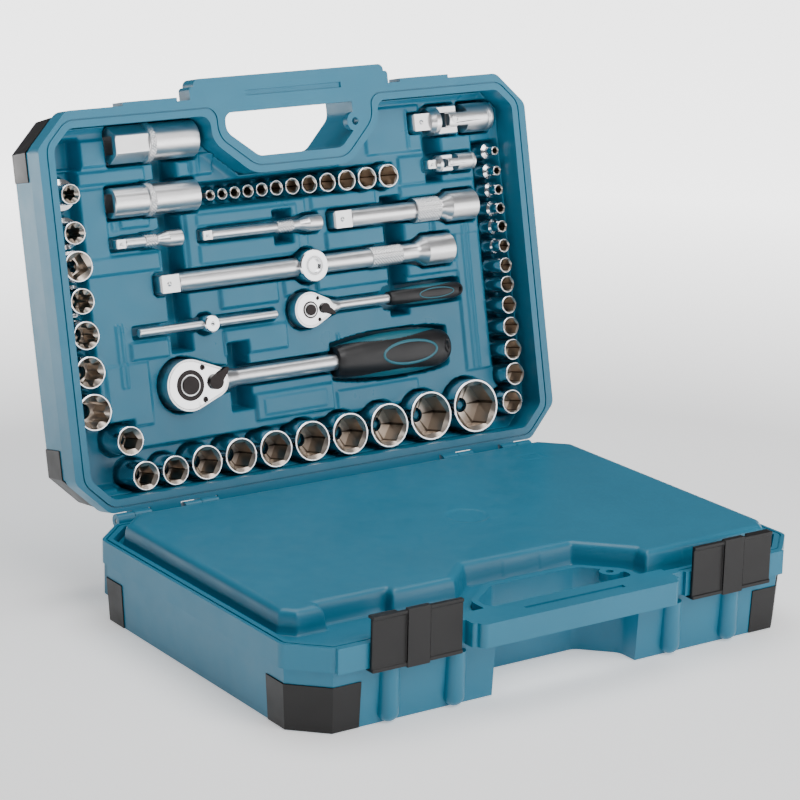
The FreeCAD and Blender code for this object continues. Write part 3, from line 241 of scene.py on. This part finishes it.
# nodes that hold several sockets, and the tray axis that each row runs along
GROUPS = {"star_sockets_half_inch": 1, "hex_sockets_quarter_inch": 1,
          "deep_sockets_quarter_inch": 0}
places = {}
for name in NODES:
    if name.startswith("socket_hex"):
        places[name] = standing(name, 0)
    elif name in GROUPS:
        places[name] = standing(name, GROUPS[name])

LOOKS = {
    "cover_outer_wall": ("teal", 1.6), "tray_outer_wall": ("teal", 1.2),
    "cover_inner_wall": ("teal", 1.0), "tray_tool_liner": ("liner", 0.0),
    "cover_corner_guards": ("dark", 0.5), "tray_corner_guards": ("dark", 0.5),
    "latch_left": ("dark", 0.6), "latch_right": ("dark", 0.6), "hinge_pins": ("pin", 0.2),
}
for name in sorted(NODES):
    if name in LOOKS:
        dress(name, *LOOKS[name])
    elif name in places:
        dress(name, "socket")
    elif "grip" in name:
        dress(name, "grip")
    elif "holder_ring" in name:
        dress(name, "rubber")
    elif "button" in name or "lever" in name or "pawl" in name:
        dress(name, "black_steel", 0.4)
    elif "screws" in name:
        dress(name, "black_steel", 0.15)
    elif "cover_plate" in name:
        dress(name, "polished", 0.3)
    elif "drive_gear" in name:
        dress(name, "satin", 0.3)
    elif "head" in name:
        dress(name, "polished", 0.5)
    else:
        dress(name, "satin", 0.5)


# ------------------------------------------------------------------ moulded reliefs
def blurred(grid, passes):
    """Soft edges: repeated three-cell averages both ways."""
    for _ in range(passes):
        padded = np.pad(grid, 1, mode="edge")
        grid = (padded[:-2, 1:-1] + padded[2:, 1:-1] + 2 * padded[1:-1, 1:-1]) / 4
        padded = np.pad(grid, 1, mode="edge")
        grid = (padded[1:-1, :-2] + padded[1:-1, 2:] + 2 * padded[1:-1, 1:-1]) / 4
    return grid


def grown(mask, cells):
    """Mask widened by a number of cells, roundly."""
    out = mask.copy()
    for i in range(-cells, cells + 1):
        for j in range(-cells, cells + 1):
            if i * i + j * j <= cells * cells + 1:
                out |= np.roll(np.roll(mask, i, 0), j, 1)
    return out


def polygon_distance(x, y, points):
    """Distance to a closed outline, negative inside."""
    best = np.full(x.shape, 1e9)
    inside = np.zeros(x.shape, bool)
    for (ax, ay), (bx, by) in zip(points, points[1:] + points[:1]):
        ex, ey = bx - ax, by - ay
        t = np.clip(((x - ax) * ex + (y - ay) * ey) / (ex * ex + ey * ey), 0, 1)
        best = np.minimum(best, np.hypot(x - ax - t * ex, y - ay - t * ey))
        crosses = (ay > y) != (by > y)
        inside ^= crosses & (x < (bx - ax) * (y - ay) / (by - ay if by != ay else 1e-9) + ax)
    return np.where(inside, -best, best)


def smooth_step(value, low, high):
    t = np.clip((value - low) / (high - low), 0, 1)
    return t * t * (3 - 2 * t)


def relief(name, xs, ys, height, keep, point, body, material, replaced):
    """A surface over a grid, shown in place of a CAD node."""
    columns, rows = len(xs), len(ys)
    index = np.full((rows, columns), -1)
    used = np.zeros((rows, columns), bool)
    cell = keep[:-1, :-1] & keep[1:, :-1] & keep[:-1, 1:] & keep[1:, 1:]
    used[:-1, :-1] |= cell
    used[1:, :-1] |= cell
    used[:-1, 1:] |= cell
    used[1:, 1:] |= cell
    index[used] = np.arange(used.sum())
    grid_x, grid_y = np.meshgrid(xs, ys)
    spots = point(grid_x[used], grid_y[used], height[used])
    a, b = index[:-1, :-1][cell], index[:-1, 1:][cell]
    c, d = index[1:, 1:][cell], index[1:, :-1][cell]
    faces = np.stack([a, b, c, d], 1)
    mesh = bpy.data.meshes.new(name)
    mesh.from_pydata(np.stack(spots, 1).tolist(), [], faces.tolist())
    mesh.polygons.foreach_set("use_smooth", [True] * len(mesh.polygons))
    mesh.materials.append(M[material])
    piece = bpy.data.objects.new(name, mesh)
    bpy.context.scene.collection.objects.link(piece)
    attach(piece, body)
    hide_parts(replaced)
    return piece


def tool_tree():
    """One search tree over everything that sits in the tray."""
    points, faces = [], []
    for name, node in NODES.items():
        if name.startswith(("cover", "tray", "latch", "hinge")):
            continue
        start = len(points)
        points += [v.co.copy() for v in node.data.vertices]
        faces += [[start + i for i in p.vertices] for p in node.data.polygons]
    return BVHTree.FromPolygons(points, faces)


BAY = [(-57.0, 259.0), (-32.0, 240.0), (38.0, 240.0), (60.0, 262.0)]


def recess_outline(grow):
    """Inner edge of the tray's rim."""
    x, near, far = 193.0 + grow, 14.6 - grow, 271.5 + grow
    cut, low_cut = 13.0 + 0.59 * grow, 16.0 + 0.59 * grow
    gap = 12.0 - grow
    (x0, v0), (x1, v1), (x2, v2), (x3, v3) = BAY
    return [(x - low_cut, near), (x, near + low_cut), (x, far - cut), (x - cut, far),
            (x3 + gap, far), (x3 + gap, v3 - gap / 2), (x2 + gap / 2, v2 - gap),
            (x1 - gap / 2, v1 - gap), (x0 - gap, v0 - gap / 2), (x0 - gap, far),
            (cut - x, far), (-x, far - cut), (-x, near + low_cut), (low_cut - x, near)]


STEP = 0.7
SKIN = 0.6                     # the liner's plain level lies this far under the deck
CUT_RIM = 4.0                  # a trough's edge starts this far over the deck
TOOL_ROOM, TOOL_EDGE = -44.0, -41.0   # liner levels round and under a tool
RAY_START, RAY_LENGTH = -60.0, 0.042
FILLET_RISE, FILLET_REACH = 5.0, 6.0  # sweep of the liner up to the tray's rim
# raised plates between the tools: left, right, bottom, top, rise over the deck
PLATES = [
    (-166, -142, 244, 262, 2.0), (-166, -113, 231.5, 240, 2.4), (-86, -77, 231, 241, 2.0),
    (-75, -58, 231, 246, 2.6), (-166, -146, 170, 228, 1.6), (-136, -113, 199, 205, 2.4),
    (-166, -108, 168, 180, 2.6), (-84, 16, 165.5, 206, 2.2), (-76, 8, 167.5, 181, 3.6),
    (-76, 8, 194.5, 203, 3.6), (32, 82, 166.5, 179, 2.6), (22, 78, 197, 206.5, 2.2),
    (101, 124, 166, 179, 2.2), (128, 168, 166, 178, 2.6), (101, 168, 198, 206.5, 2.2),
    (-62, -14, 134, 149, 3.0), (-8, 12, 137, 148, 2.2), (20, 82, 138, 149, 3.0),
    (101, 146, 139, 147, 2.2), (-62, -10, 100, 118, 2.6), (-138, -108, 106, 118, 2.0),
    (-42, 24, 50, 69, 2.8), (-36, 18, 53, 66, 3.4), (146, 168, 62, 196, 1.8),
    (75, 124, 232, 266, 1.8), (142, 169, 229, 240, 2.0), (102, 125, 208, 228, 1.8),
    (-160, -126, 60, 104, 1.4), (28, 100, 46, 62, 1.2),
]
# thin double ridges that stiffen the sheet: place, bottom, top
RIDGES = [(-147, 88, 132), (-143.5, 88, 132), (-141, 198, 206), (-138.5, 198, 206),
          (153, 64, 178), (157, 64, 178), (34, 92, 104), (-70, 231, 246), (112, 234, 262)]
# sunken areas: left, right, bottom, top, floor
TROUGHS = [
    (-191, -166, 64, 243, -39), (-188, -162, 243, 264, -42), (171, 191, 62, 234, -38),
    (-72, 96, 207.5, 224.5, -38), (-160, 162, 17, 44, -34), (-186, -142, 20, 64, -39),
    (-104, -88, 108, 262, -46), (-12, 2, 176, 199, -42), (84, 99, 112, 200, -46),
    (127, 140, 208, 262, -44), (-60, -44, 60, 108, -46),
]


def edge_distance(x, y, area):
    x0, x1, y0, y1 = area
    return np.maximum(np.maximum(x0 - x, x - x1), np.maximum(y0 - y, y - y1))


def make_liner():
    """Tray sheet: plates, ridges and troughs, with room sunk round every tool."""
    xs = np.arange(-195.0, 195.01, STEP)
    ys = np.arange(12.6, 273.5, STEP)
    x, y = np.meshgrid(xs, ys)
    height = np.full(x.shape, DECK - SKIN)
    for *area, rise in PLATES:
        edge = edge_distance(x, y, area)
        height = np.maximum(height, DECK - SKIN + rise * smooth_step(-edge, -0.7, 0.5))
    for place, low, high in RIDGES:
        edge = edge_distance(x, y, (place - 0.6, place + 0.6, low, high))
        height = height + 1.0 * smooth_step(-edge, -0.9, 0.3)
    for *area, depth in TROUGHS:
        edge = edge_distance(x, y, area)
        cut = DECK + CUT_RIM + (depth - DECK - CUT_RIM) * smooth_step(-edge, -1.6, 1.2)
        height = np.minimum(height, cut)
    tree = tool_tree()
    up = Vector((0, -COS, SIN))
    occupied = np.zeros(x.shape, bool)
    for i in range(x.shape[0]):
        for j in range(x.shape[1]):
            start = Vector(tray_point(x[i, j], y[i, j], RAY_START))
            hit = tree.ray_cast(start, up, RAY_LENGTH)
            occupied[i, j] = hit[0] is not None
    room = grown(occupied, int(round(1.5 / STEP)))
    height = np.where(room, np.minimum(height, TOOL_ROOM), height)
    height = blurred(height, 1)
    height = np.where(grown(occupied, 1), np.minimum(height, TOOL_EDGE), height)
    wall = polygon_distance(x, y, recess_outline(0.0))
    sweep = np.clip(1 + wall / FILLET_REACH, 0, 1) ** 2
    height = height + FILLET_RISE * sweep * (height > DECK - 3)
    height = np.where(wall > 0, DECK - 0.4, height)
    keep = polygon_distance(x, y, recess_outline(1.8)) < 0
    relief("tray_relief", xs, ys, height, keep, tray_point, "tray", "liner",
           "tray_tool_liner")


PLATEAU = [(-191, 36), (-173, 18), (171, 18), (191, 38), (191, 250), (182, 264), (76, 266),
           (76, 254), (46, 224), (-40, 222), (-62, 242), (-182, 242), (-191, 233)]


PLATEAU_TOP, CHANNEL = 69.0, 53.1      # levels of the cover's inside face
PLATEAU_EDGE = 6.5                     # radius of the plateau's edge
DIMPLE, MARK = (19.6, 140.6), (141, 52)   # middle of the round dimple and of the plain frame


def make_plateau():
    """Cover's inside face: a flat plateau with soft edges and a channel round it."""
    xs = np.arange(-197.4, 197.41, STEP)
    ys = np.arange(13.4, 270.4, STEP)
    x, v = np.meshgrid(xs, ys)
    body = polygon_distance(x, v, PLATEAU)
    notch = np.maximum(np.abs(x + 136) - 25, 234.5 - v)
    body = np.maximum(body, -notch)
    depth = np.clip(-body, 0, PLATEAU_EDGE)
    top = np.sqrt(np.maximum(PLATEAU_EDGE ** 2 - (PLATEAU_EDGE - depth) ** 2, 0)) - PLATEAU_EDGE
    height = np.where(body < 0, PLATEAU_TOP + top - 0.05, CHANNEL)
    height = np.where((body >= 0) & (body < 1.0), CHANNEL + (1.0 - body) * 3, height)
    dimple = np.hypot(x - DIMPLE[0], v - DIMPLE[1])
    height -= 0.7 * (1 - smooth_step(dimple, 13.6, 15.2))
    mark = np.maximum(np.abs(x - MARK[0]) - 9, np.abs(v - MARK[1]) - 6)
    height += np.where(body < -6, -0.4 * (1 - smooth_step(np.abs(mark), 0.4, 1.2)), 0)
    height = np.minimum(blurred(height, 2), PLATEAU_TOP - 0.05)
    near, far, side, cut = 13.6, 270.0, 196.9, 19.5
    keep = (np.abs(x) < side) & (v > near) & (v < far) & (np.abs(x) - v < side - near - cut)
    keep &= np.abs(x) + v < side + far - cut
    (x0, v0), (x1, v1), (x2, v2), (x3, v3) = BAY
    middle = [(x0 + 10, 320), (x0 + 10, v0 + 5), (x1 + 5, v1 + 10), (x2 - 5, v2 + 10),
              (x3 - 10, v3 + 5), (x3 - 10, 320)]
    keep &= polygon_distance(x, v, middle) > 14.6
    relief("cover_relief", xs, ys, height, keep,
           lambda a, b, c: (a * MM, (HINGE_Y - b) * MM, c * MM), "cover", "teal",
           "cover_inner_wall")


make_liner()
make_plateau()


# ------------------------------------------------------------------ knurled bands
def band(name, node, start, end, grow, body):
    """Thin knurled sleeve round a bar that lies along X."""
    local = to_tray(vertices(node))
    x0, x1 = local[:, 0].min(), local[:, 0].max()
    a, b = x0 + (x1 - x0) * start, x0 + (x1 - x0) * end
    middle = (local.min(0) + local.max(0)) / 2
    near = local[np.abs(local[:, 0] - (a + b) / 2) < (b - a) * 0.8]
    radius = (near[:, 1].max() - near[:, 1].min()) / 2 + grow
    count = int(radius * 16)
    length = max(8, int((b - a) / (2 * math.pi * radius / count)))
    pitch = math.pi / 3
    spots, faces = [], []
    for i in range(-1, length + 2):
        for j in range(count):
            angle = 2 * math.pi * j / count
            rise = math.sin(0.5 * (i + j) * pitch) * math.sin(0.5 * (i - j) * pitch)
            edge = 0.3 if i in (0, length) else 0.0
            r = radius + 0.34 * abs(rise) - edge
            if i in (-1, length + 1):
                r = radius * 0.8
            along = min(max(i, 0), length) / length
            spots.append(tray_point(a + (b - a) * along, middle[1] + r * math.cos(angle),
                                    middle[2] + r * math.sin(angle)))
    for i in range(length + 2):
        for j in range(count):
            k = (j + 1) % count
            faces.append((i * count + j, (i + 1) * count + j, (i + 1) * count + k, i * count + k))
    mesh = bpy.data.meshes.new(name)
    mesh.from_pydata(spots, [], faces)
    mesh.materials.append(M["satin"])
    piece = bpy.data.objects.new(name, mesh)
    bpy.context.scene.collection.objects.link(piece)
    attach(piece, body)


band("knurl_bar_250", "extension_bar_half_250", 0.71, 0.82, 0.02, "extension_bar_half_250")
band("knurl_bar_125", "extension_bar_half_125", 0.57, 0.74, 0.02, "extension_bar_half_125")
band("knurl_bar_100", "extension_bar_quarter_100", 0.62, 0.76, 0.02, "extension_bar_quarter_100")
band("ring_plug_21", "spark_plug_socket_21", 0.40, 0.47, 0.1, "spark_plug_socket_21")
band("ring_plug_16", "spark_plug_socket_16", 0.40, 0.47, 0.1, "spark_plug_socket_16")
band("knurl_bar_50", "extension_bar_quarter_50", 0.44, 0.62, 0.02, "extension_bar_quarter_50")


# ------------------------------------------------------------------ standing sockets
def hexagonal(size):
    """Radius of a hexagon across its flats, at an angle."""
    return lambda angle: size / 2 / math.cos((angle + math.pi / 6) % (math.pi / 3) - math.pi / 6)


def squared(size):
    """Radius of a square across its flats, with its corners cut."""
    return lambda angle: min(
        size / 2 / math.cos((angle + math.pi / 4) % (math.pi / 2) - math.pi / 4), size * 0.66)


def lobed(size):
    """Six round lobes for a star-headed screw."""
    return lambda angle: size * (0.43 + 0.07 * math.cos(6 * angle))


def circle(radius):
    return lambda angle: radius


def socket_rings(outer, nose, low, high, mouth, mouth_depth, far, far_depth, hole):
    """Rings of one socket: up the outside, over the rim, down the mouth and out at the far end."""
    edge = 0.5 if outer > 7 else 0.3
    shoulder = low + (high - low) * 0.58 if nose < outer - 0.5 else high - 2.2
    lead = nose - edge - 0.06 * nose
    sides = [mouth(math.pi * i / 48) for i in range(96)]
    rise = 0.6 * (lead - min(sides))
    rings = [(low + edge, circle(outer), 0), (shoulder, circle(outer), 0),
             (shoulder + 1.2, circle(nose), 0), (high - edge, circle(nose), 0),
             (high - 0.3 * edge, circle(nose - 0.3 * edge), 0), (high, circle(nose - edge), 0),
             (high, circle(lead + 0.15), 0), (high - 0.15, circle(lead), 1),
             (high - rise - 0.25, mouth, 1), (high - mouth_depth, mouth, 1),
             (high - mouth_depth - 0.4, circle(hole), 1), (low + far_depth, circle(hole), 1),
             (low + far_depth - 0.2, far, 1), (low, far, 0), (low, circle(outer - edge), 0)]
    return rings


def turned_sockets(node, sizes, square, square_depth, body, star=None):
    """Smooth sockets at the places of a node's solids; star is the size stored upside down."""
    spots, faces, kinds = [], [], []
    count = 96
    for size, (x, v, outer, nose, low, high) in zip(sizes, places[node]):
        drive = squared(min(square, 0.62 * 2 * outer) + 0.15)
        length = high - low
        hole = min(square, 0.62 * 2 * outer) * 0.44
        if star is None:
            opening = hexagonal(size + 0.1)
            depth = length - square_depth - 1.5
        else:
            opening = lobed(size * 0.92)
            depth = length - square_depth - 3
        if size == star:
            rings = socket_rings(outer, outer, low, high, drive, square_depth, opening,
                                 depth, hole)
        else:
            rings = socket_rings(outer, nose, low, high, opening, depth, drive,
                                 square_depth, hole)
        turn = math.radians(30 + 5 * math.sin(7 * size))
        start = len(spots)
        for w, radius, kind in rings:
            for i in range(count):
                angle = 2 * math.pi * i / count
                r = radius(angle)
                spots.append(tray_point(x + r * math.cos(angle + turn),
                                        v + r * math.sin(angle + turn), w))
        for j in range(len(rings)):
            a, b = start + j * count, start + (j + 1) % len(rings) * count
            for i in range(count):
                k = (i + 1) % count
                faces.append((a + i, a + k, b + k, b + i))
                # Painted shade: the faces along each corner of a hex opening take the darkest bore
                # material, standing for shade in those creases.
                corner = star is None and rings[j][1] is opening and (i + 9) % 16 < 2
                kinds.append(2 if corner else rings[(j + 1) % len(rings)][2])
    mesh = bpy.data.meshes.new("turned_" + node)
    mesh.from_pydata(spots, [], faces)
    mesh.materials.append(M["socket"])
    mesh.materials.append(M["bore"])
    mesh.materials.append(M["bore_corner_shade"])
    mesh.polygons.foreach_set("material_index", kinds)
    mesh.polygons.foreach_set("use_smooth", [True] * len(mesh.polygons))
    mesh.set_sharp_from_angle(angle=math.radians(12))
    piece = bpy.data.objects.new("turned_" + node, mesh)
    bpy.context.scene.collection.objects.link(piece)
    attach(piece, body)
    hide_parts(node)


HALF_SQUARE, QUARTER_SQUARE = 12.7, 6.35
HALF_DEPTH, QUARTER_DEPTH = 14.0, 8.5
STAR_SIZES = (24, 20, 18, 16, 14, 12, 10)
STAR_TURNED = 14
SMALL_SIZES = (14, 13, 12, 11, 10, 9, 8, 7, 6, 5.5, 5, 4.5, 4)
DEEP_SIZES = (4, 4.5, 5, 5.5, 6, 7, 8, 9, 10, 11, 12, 13)
for node in places:
    if node.startswith("socket_hex"):
        turned_sockets(node, [float(node.split("_")[-1])], HALF_SQUARE, HALF_DEPTH, node)
turned_sockets("star_sockets_half_inch", STAR_SIZES, HALF_SQUARE, HALF_DEPTH, "tray",
               STAR_TURNED)
turned_sockets("hex_sockets_quarter_inch", SMALL_SIZES, QUARTER_SQUARE, QUARTER_DEPTH, "tray")
turned_sockets("deep_sockets_quarter_inch", DEEP_SIZES, QUARTER_SQUARE, QUARTER_DEPTH, "tray")


# ------------------------------------------------------------------ rings on the tools
def washer(name, tool, centre, rings, material):
    """Turned ring about the tray's normal: (radius, height) rings from inside to outside."""
    count = 72
    spots = [tray_point(centre[0] + r * math.cos(2 * math.pi * i / count),
                        centre[1] + r * math.sin(2 * math.pi * i / count), w)
             for r, w in rings for i in range(count)]
    faces = []
    for j in range(len(rings)):
        a, b = j * count, (j + 1) % len(rings) * count
        faces += [(a + i, a + (i + 1) % count, b + (i + 1) % count, b + i) for i in range(count)]
    mesh = bpy.data.meshes.new(name)
    mesh.from_pydata(spots, [], faces)
    mesh.materials.append(M[material])
    mesh.polygons.foreach_set("use_smooth", [True] * len(mesh.polygons))
    mesh.set_sharp_from_angle(angle=math.radians(32))
    piece = bpy.data.objects.new(name, mesh)
    bpy.context.scene.collection.objects.link(piece)
    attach(piece, tool)


def ring_round_button(tool, width):
    button = to_tray(vertices(tool + "_release_button"))
    plate = to_tray(vertices(tool + "_cover_plate"))
    centre = (button.min(0) + button.max(0)) / 2
    head = button[button[:, 2] > button[:, 2].max() - 1.0]
    inner = (head[:, 0].max() - head[:, 0].min()) / 2 - 0.2
    low, high = plate[:, 2].max() - 0.2, plate[:, 2].max() + 0.25
    washer(tool + "_button_ring", tool, centre, [(inner, low), (inner, high), (inner + width, high),
                                                (inner + width + 0.2, low)],
           "black_steel")


ring_round_button("ratchet_half", 4.6)
ring_round_button("ratchet_quarter", 2.4)
slider = to_tray(vertices("tee_head_half"))
slider_middle = (slider.min(0) + slider.max(0)) / 2
slider_top = slider[:, 2].max()
# Painted shade: a thin grey ring laid flat on the slider's head, darker than its polished chrome,
# stands in for the shade of a wider recess in its top.
washer("tee_head_half_recess_shade", "tee_head_half", slider_middle,
       [(5.2, slider_top - 0.6), (5.3, slider_top + 0.02), (7.2, slider_top + 0.06),
        (7.3, slider_top - 0.2)], "pin")


# ------------------------------------------------------------------ grips
GRIP_SHAPE = ((0.0, 0.66), (0.04, 0.74), (0.2, 0.88), (0.42, 0.99), (0.55, 1.0), (0.72, 0.97),
              (0.86, 0.9), (0.94, 0.78), (0.985, 0.6), (1.0, 0.42))


def grip_width(t):
    """Half width along the grip, as a share of its widest, through a few stations."""
    stations = [place for place, width in GRIP_SHAPE]
    widths = [width for place, width in GRIP_SHAPE]
    return np.interp(t, stations, widths)


def make_grip(name, tool):
    """Soft grip: black shell, teal strips down both sides, an oval ring and a hanging hole."""
    nodes = [tool + "_grip_core", tool + "_grip_cover"]
    local = np.concatenate([to_tray(vertices(node)) for node in nodes])
    low, high = local.min(0), local.max(0)
    start, length = low[0], high[0] - low[0]
    v_mid, w_mid = (low[1] + high[1]) / 2, (low[2] + high[2]) / 2
    half_v, half_w = (high[1] - low[1]) / 2 - 0.1, (high[2] - low[2]) / 2 - 0.1
    t = np.linspace(0, 1, 161)
    t = np.where(t > 0.9, 0.9 + 0.1 * np.sin((t - 0.9) / 0.1 * math.pi / 2), t)
    widths = grip_width(t)
    for _ in range(6):
        widths[1:-1] = (widths[:-2] + 2 * widths[1:-1] + widths[2:]) / 4
    count = 120
    angles = np.arange(count) * 2 * math.pi / count
    spots, faces, kinds = [], [], []
    for i, (place, width) in enumerate(zip(t, widths)):
        strip = 0.85 * math.sin(math.pi * min(1.0, place * 1.03)) ** 0.7
        for angle in angles:
            side, front = math.cos(angle), math.sin(angle)
            round_off = (abs(side) ** 2.3 + abs(front) ** 2.3) ** (-1 / 2.3)
            from_side = min(abs(angle % math.pi), math.pi - abs(angle % math.pi))
            sunk = 0.0 if from_side > strip else 0.35
            v = v_mid + (half_v * width * round_off - sunk) * side
            w = w_mid + (half_w * width ** 0.8 * round_off - sunk) * front
            hole = ((place - 0.945) / 0.028) ** 2 + ((v - v_mid) / (0.3 * half_v)) ** 2
            if front > 0 and hole < 1:
                w -= 3.0 * (1 - hole)
            spots.append(tray_point(start + length * place, v, w))
    for i in range(len(t) - 1):
        place = (t[i] + t[i + 1]) / 2
        strip = 0.85 * math.sin(math.pi * min(1.0, place * 1.03)) ** 0.7
        for j in range(count):
            k = (j + 1) % count
            faces.append((i * count + j, (i + 1) * count + j, (i + 1) * count + k, i * count + k))
            angle = (angles[j] + math.pi / count) % math.pi
            kinds.append(1 if min(angle, math.pi - angle) < strip else 0)
    faces += [tuple(range(count)), tuple(range(len(spots) - 1, len(spots) - count - 1, -1))]
    kinds += [0, 0]
    mesh = bpy.data.meshes.new(name)
    mesh.from_pydata(spots, [], faces)
    for material in ("grip", "grip_teal"):
        mesh.materials.append(M[material])
    mesh.polygons.foreach_set("material_index", kinds)
    mesh.polygons.foreach_set("use_smooth", [True] * len(mesh.polygons))
    piece = bpy.data.objects.new(name, mesh)
    bpy.context.scene.collection.objects.link(piece)
    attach(piece, tool)
    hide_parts(*nodes)
    ring_on_grip(name + "_ring", tool, piece, (start + 0.6 * length, v_mid),
                 (0.235 * length, 0.5 * half_v), 0.07 * half_v)


def ring_on_grip(name, tool, grip, centre, reach, width):
    """Flat oval ring that follows the grip's face."""
    tree = BVHTree.FromPolygons([v.co.copy() for v in grip.data.vertices],
                                [list(p.vertices) for p in grip.data.polygons])
    down = Vector((0, COS, -SIN))
    spots, faces = [], []
    count = 120
    rows = ((-1.0, -0.2), (-0.7, 0.3), (0.7, 0.3), (1.0, -0.2))
    for i in range(count):
        angle = 2 * math.pi * i / count
        for across, rise in rows:
            x = centre[0] + (reach[0] + across * width) * math.cos(angle)
            v = centre[1] + (reach[1] + across * width) * math.sin(angle)
            hit = tree.ray_cast(Vector(tray_point(x, v, 20)), down, 0.1)[0]
            spots.append(hit - down * rise * MM)
    for i in range(count):
        k = (i + 1) % count
        for j in range(len(rows) - 1):
            faces.append((i * 4 + j, i * 4 + j + 1, k * 4 + j + 1, k * 4 + j))
    mesh = bpy.data.meshes.new(name)
    mesh.from_pydata(spots, [], faces)
    mesh.materials.append(M["grip_teal"])
    mesh.polygons.foreach_set("use_smooth", [True] * len(mesh.polygons))
    piece = bpy.data.objects.new(name, mesh)
    bpy.context.scene.collection.objects.link(piece)
    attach(piece, tool)


make_grip("half_grip", "ratchet_half")
make_grip("quarter_grip", "ratchet_quarter")


# ------------------------------------------------------------------ stage, light and camera
def floor():
    mesh = bpy.data.meshes.new("floor")
    size = 14.0
    mesh.from_pydata([(-size, -size, 0), (size, -size, 0), (size, size, 0), (-size, size, 0)],
                     [], [(0, 1, 2, 3)])
    material, tree, bsdf, place = shader("floor_white")
    bsdf.inputs["Base Color"].default_value = (0.93, 0.93, 0.93, 1)
    bsdf.inputs["Roughness"].default_value = 0.7
    bsdf.inputs["Emission Color"].default_value = (1, 1, 1, 1)
    far = tree.nodes.new("ShaderNodeVectorMath")
    far.operation = "LENGTH"
    tree.links.new(place.outputs["Object"], far.inputs[0])
    glow = spread(tree, far.outputs["Value"], 0.5, 3.2, 0.55, 1.5)
    tree.links.new(glow, bsdf.inputs["Emission Strength"])
    mesh.materials.append(material)
    piece = bpy.data.objects.new("floor", mesh)
    piece.location = (0, 0, -0.0004)
    bpy.context.scene.collection.objects.link(piece)


def softbox(name, place, size, power, aim=(0.0, 0.08, 0.14), color=(1, 1, 1)):
    data = bpy.data.lights.new(name, "AREA")
    data.shape = "RECTANGLE"
    data.size, data.size_y = size
    data.energy = power
    data.color = color
    lamp = bpy.data.objects.new(name, data)
    lamp.location = place
    lamp.rotation_euler = (Vector(aim) - Vector(place)).to_track_quat("-Z", "Y").to_euler()
    bpy.context.scene.collection.objects.link(lamp)


def camera():
    azimuth, elevation, roll = math.radians(34.492), math.radians(15.755), math.radians(1.184)
    target, distance = Vector((-0.0413, 0.0, 0.161)), 1.794
    ahead = Vector((math.sin(azimuth) * math.cos(elevation),
                    math.cos(azimuth) * math.cos(elevation), -math.sin(elevation)))
    right = Vector((math.cos(azimuth), -math.sin(azimuth), 0))
    up = right.cross(ahead)
    right_rolled = right * math.cos(roll) + up * math.sin(roll)
    up_rolled = up * math.cos(roll) - right * math.sin(roll)
    data = bpy.data.cameras.new("camera")
    data.sensor_width = 36.0
    data.lens = 121.35
    lens = bpy.data.objects.new("camera", data)
    spin = Matrix((right_rolled, up_rolled, -ahead)).transposed().to_4x4()
    lens.matrix_world = Matrix.Translation(target - ahead * distance) @ spin
    bpy.context.scene.collection.objects.link(lens)
    bpy.context.scene.camera = lens


floor()
softbox("key", (0.2, -1.6, 1.7), (1.4, 1.1), 26)
softbox("top", (0.2, 0.3, 1.9), (1.6, 1.4), 24)
softbox("right", (1.25, -1.75, 0.62), (1.5, 0.9), 12)
softbox("left", (-1.6, 0.7, 1.0), (0.8, 0.8), 1.5, (0, 0.2, 0.25))
world = bpy.data.worlds.new("studio")
world.use_nodes = True
world.node_tree.nodes["Background"].inputs["Color"].default_value = (0.93, 0.95, 1.0, 1)
world.node_tree.nodes["Background"].inputs["Strength"].default_value = 0.15
bpy.context.scene.world = world
camera()
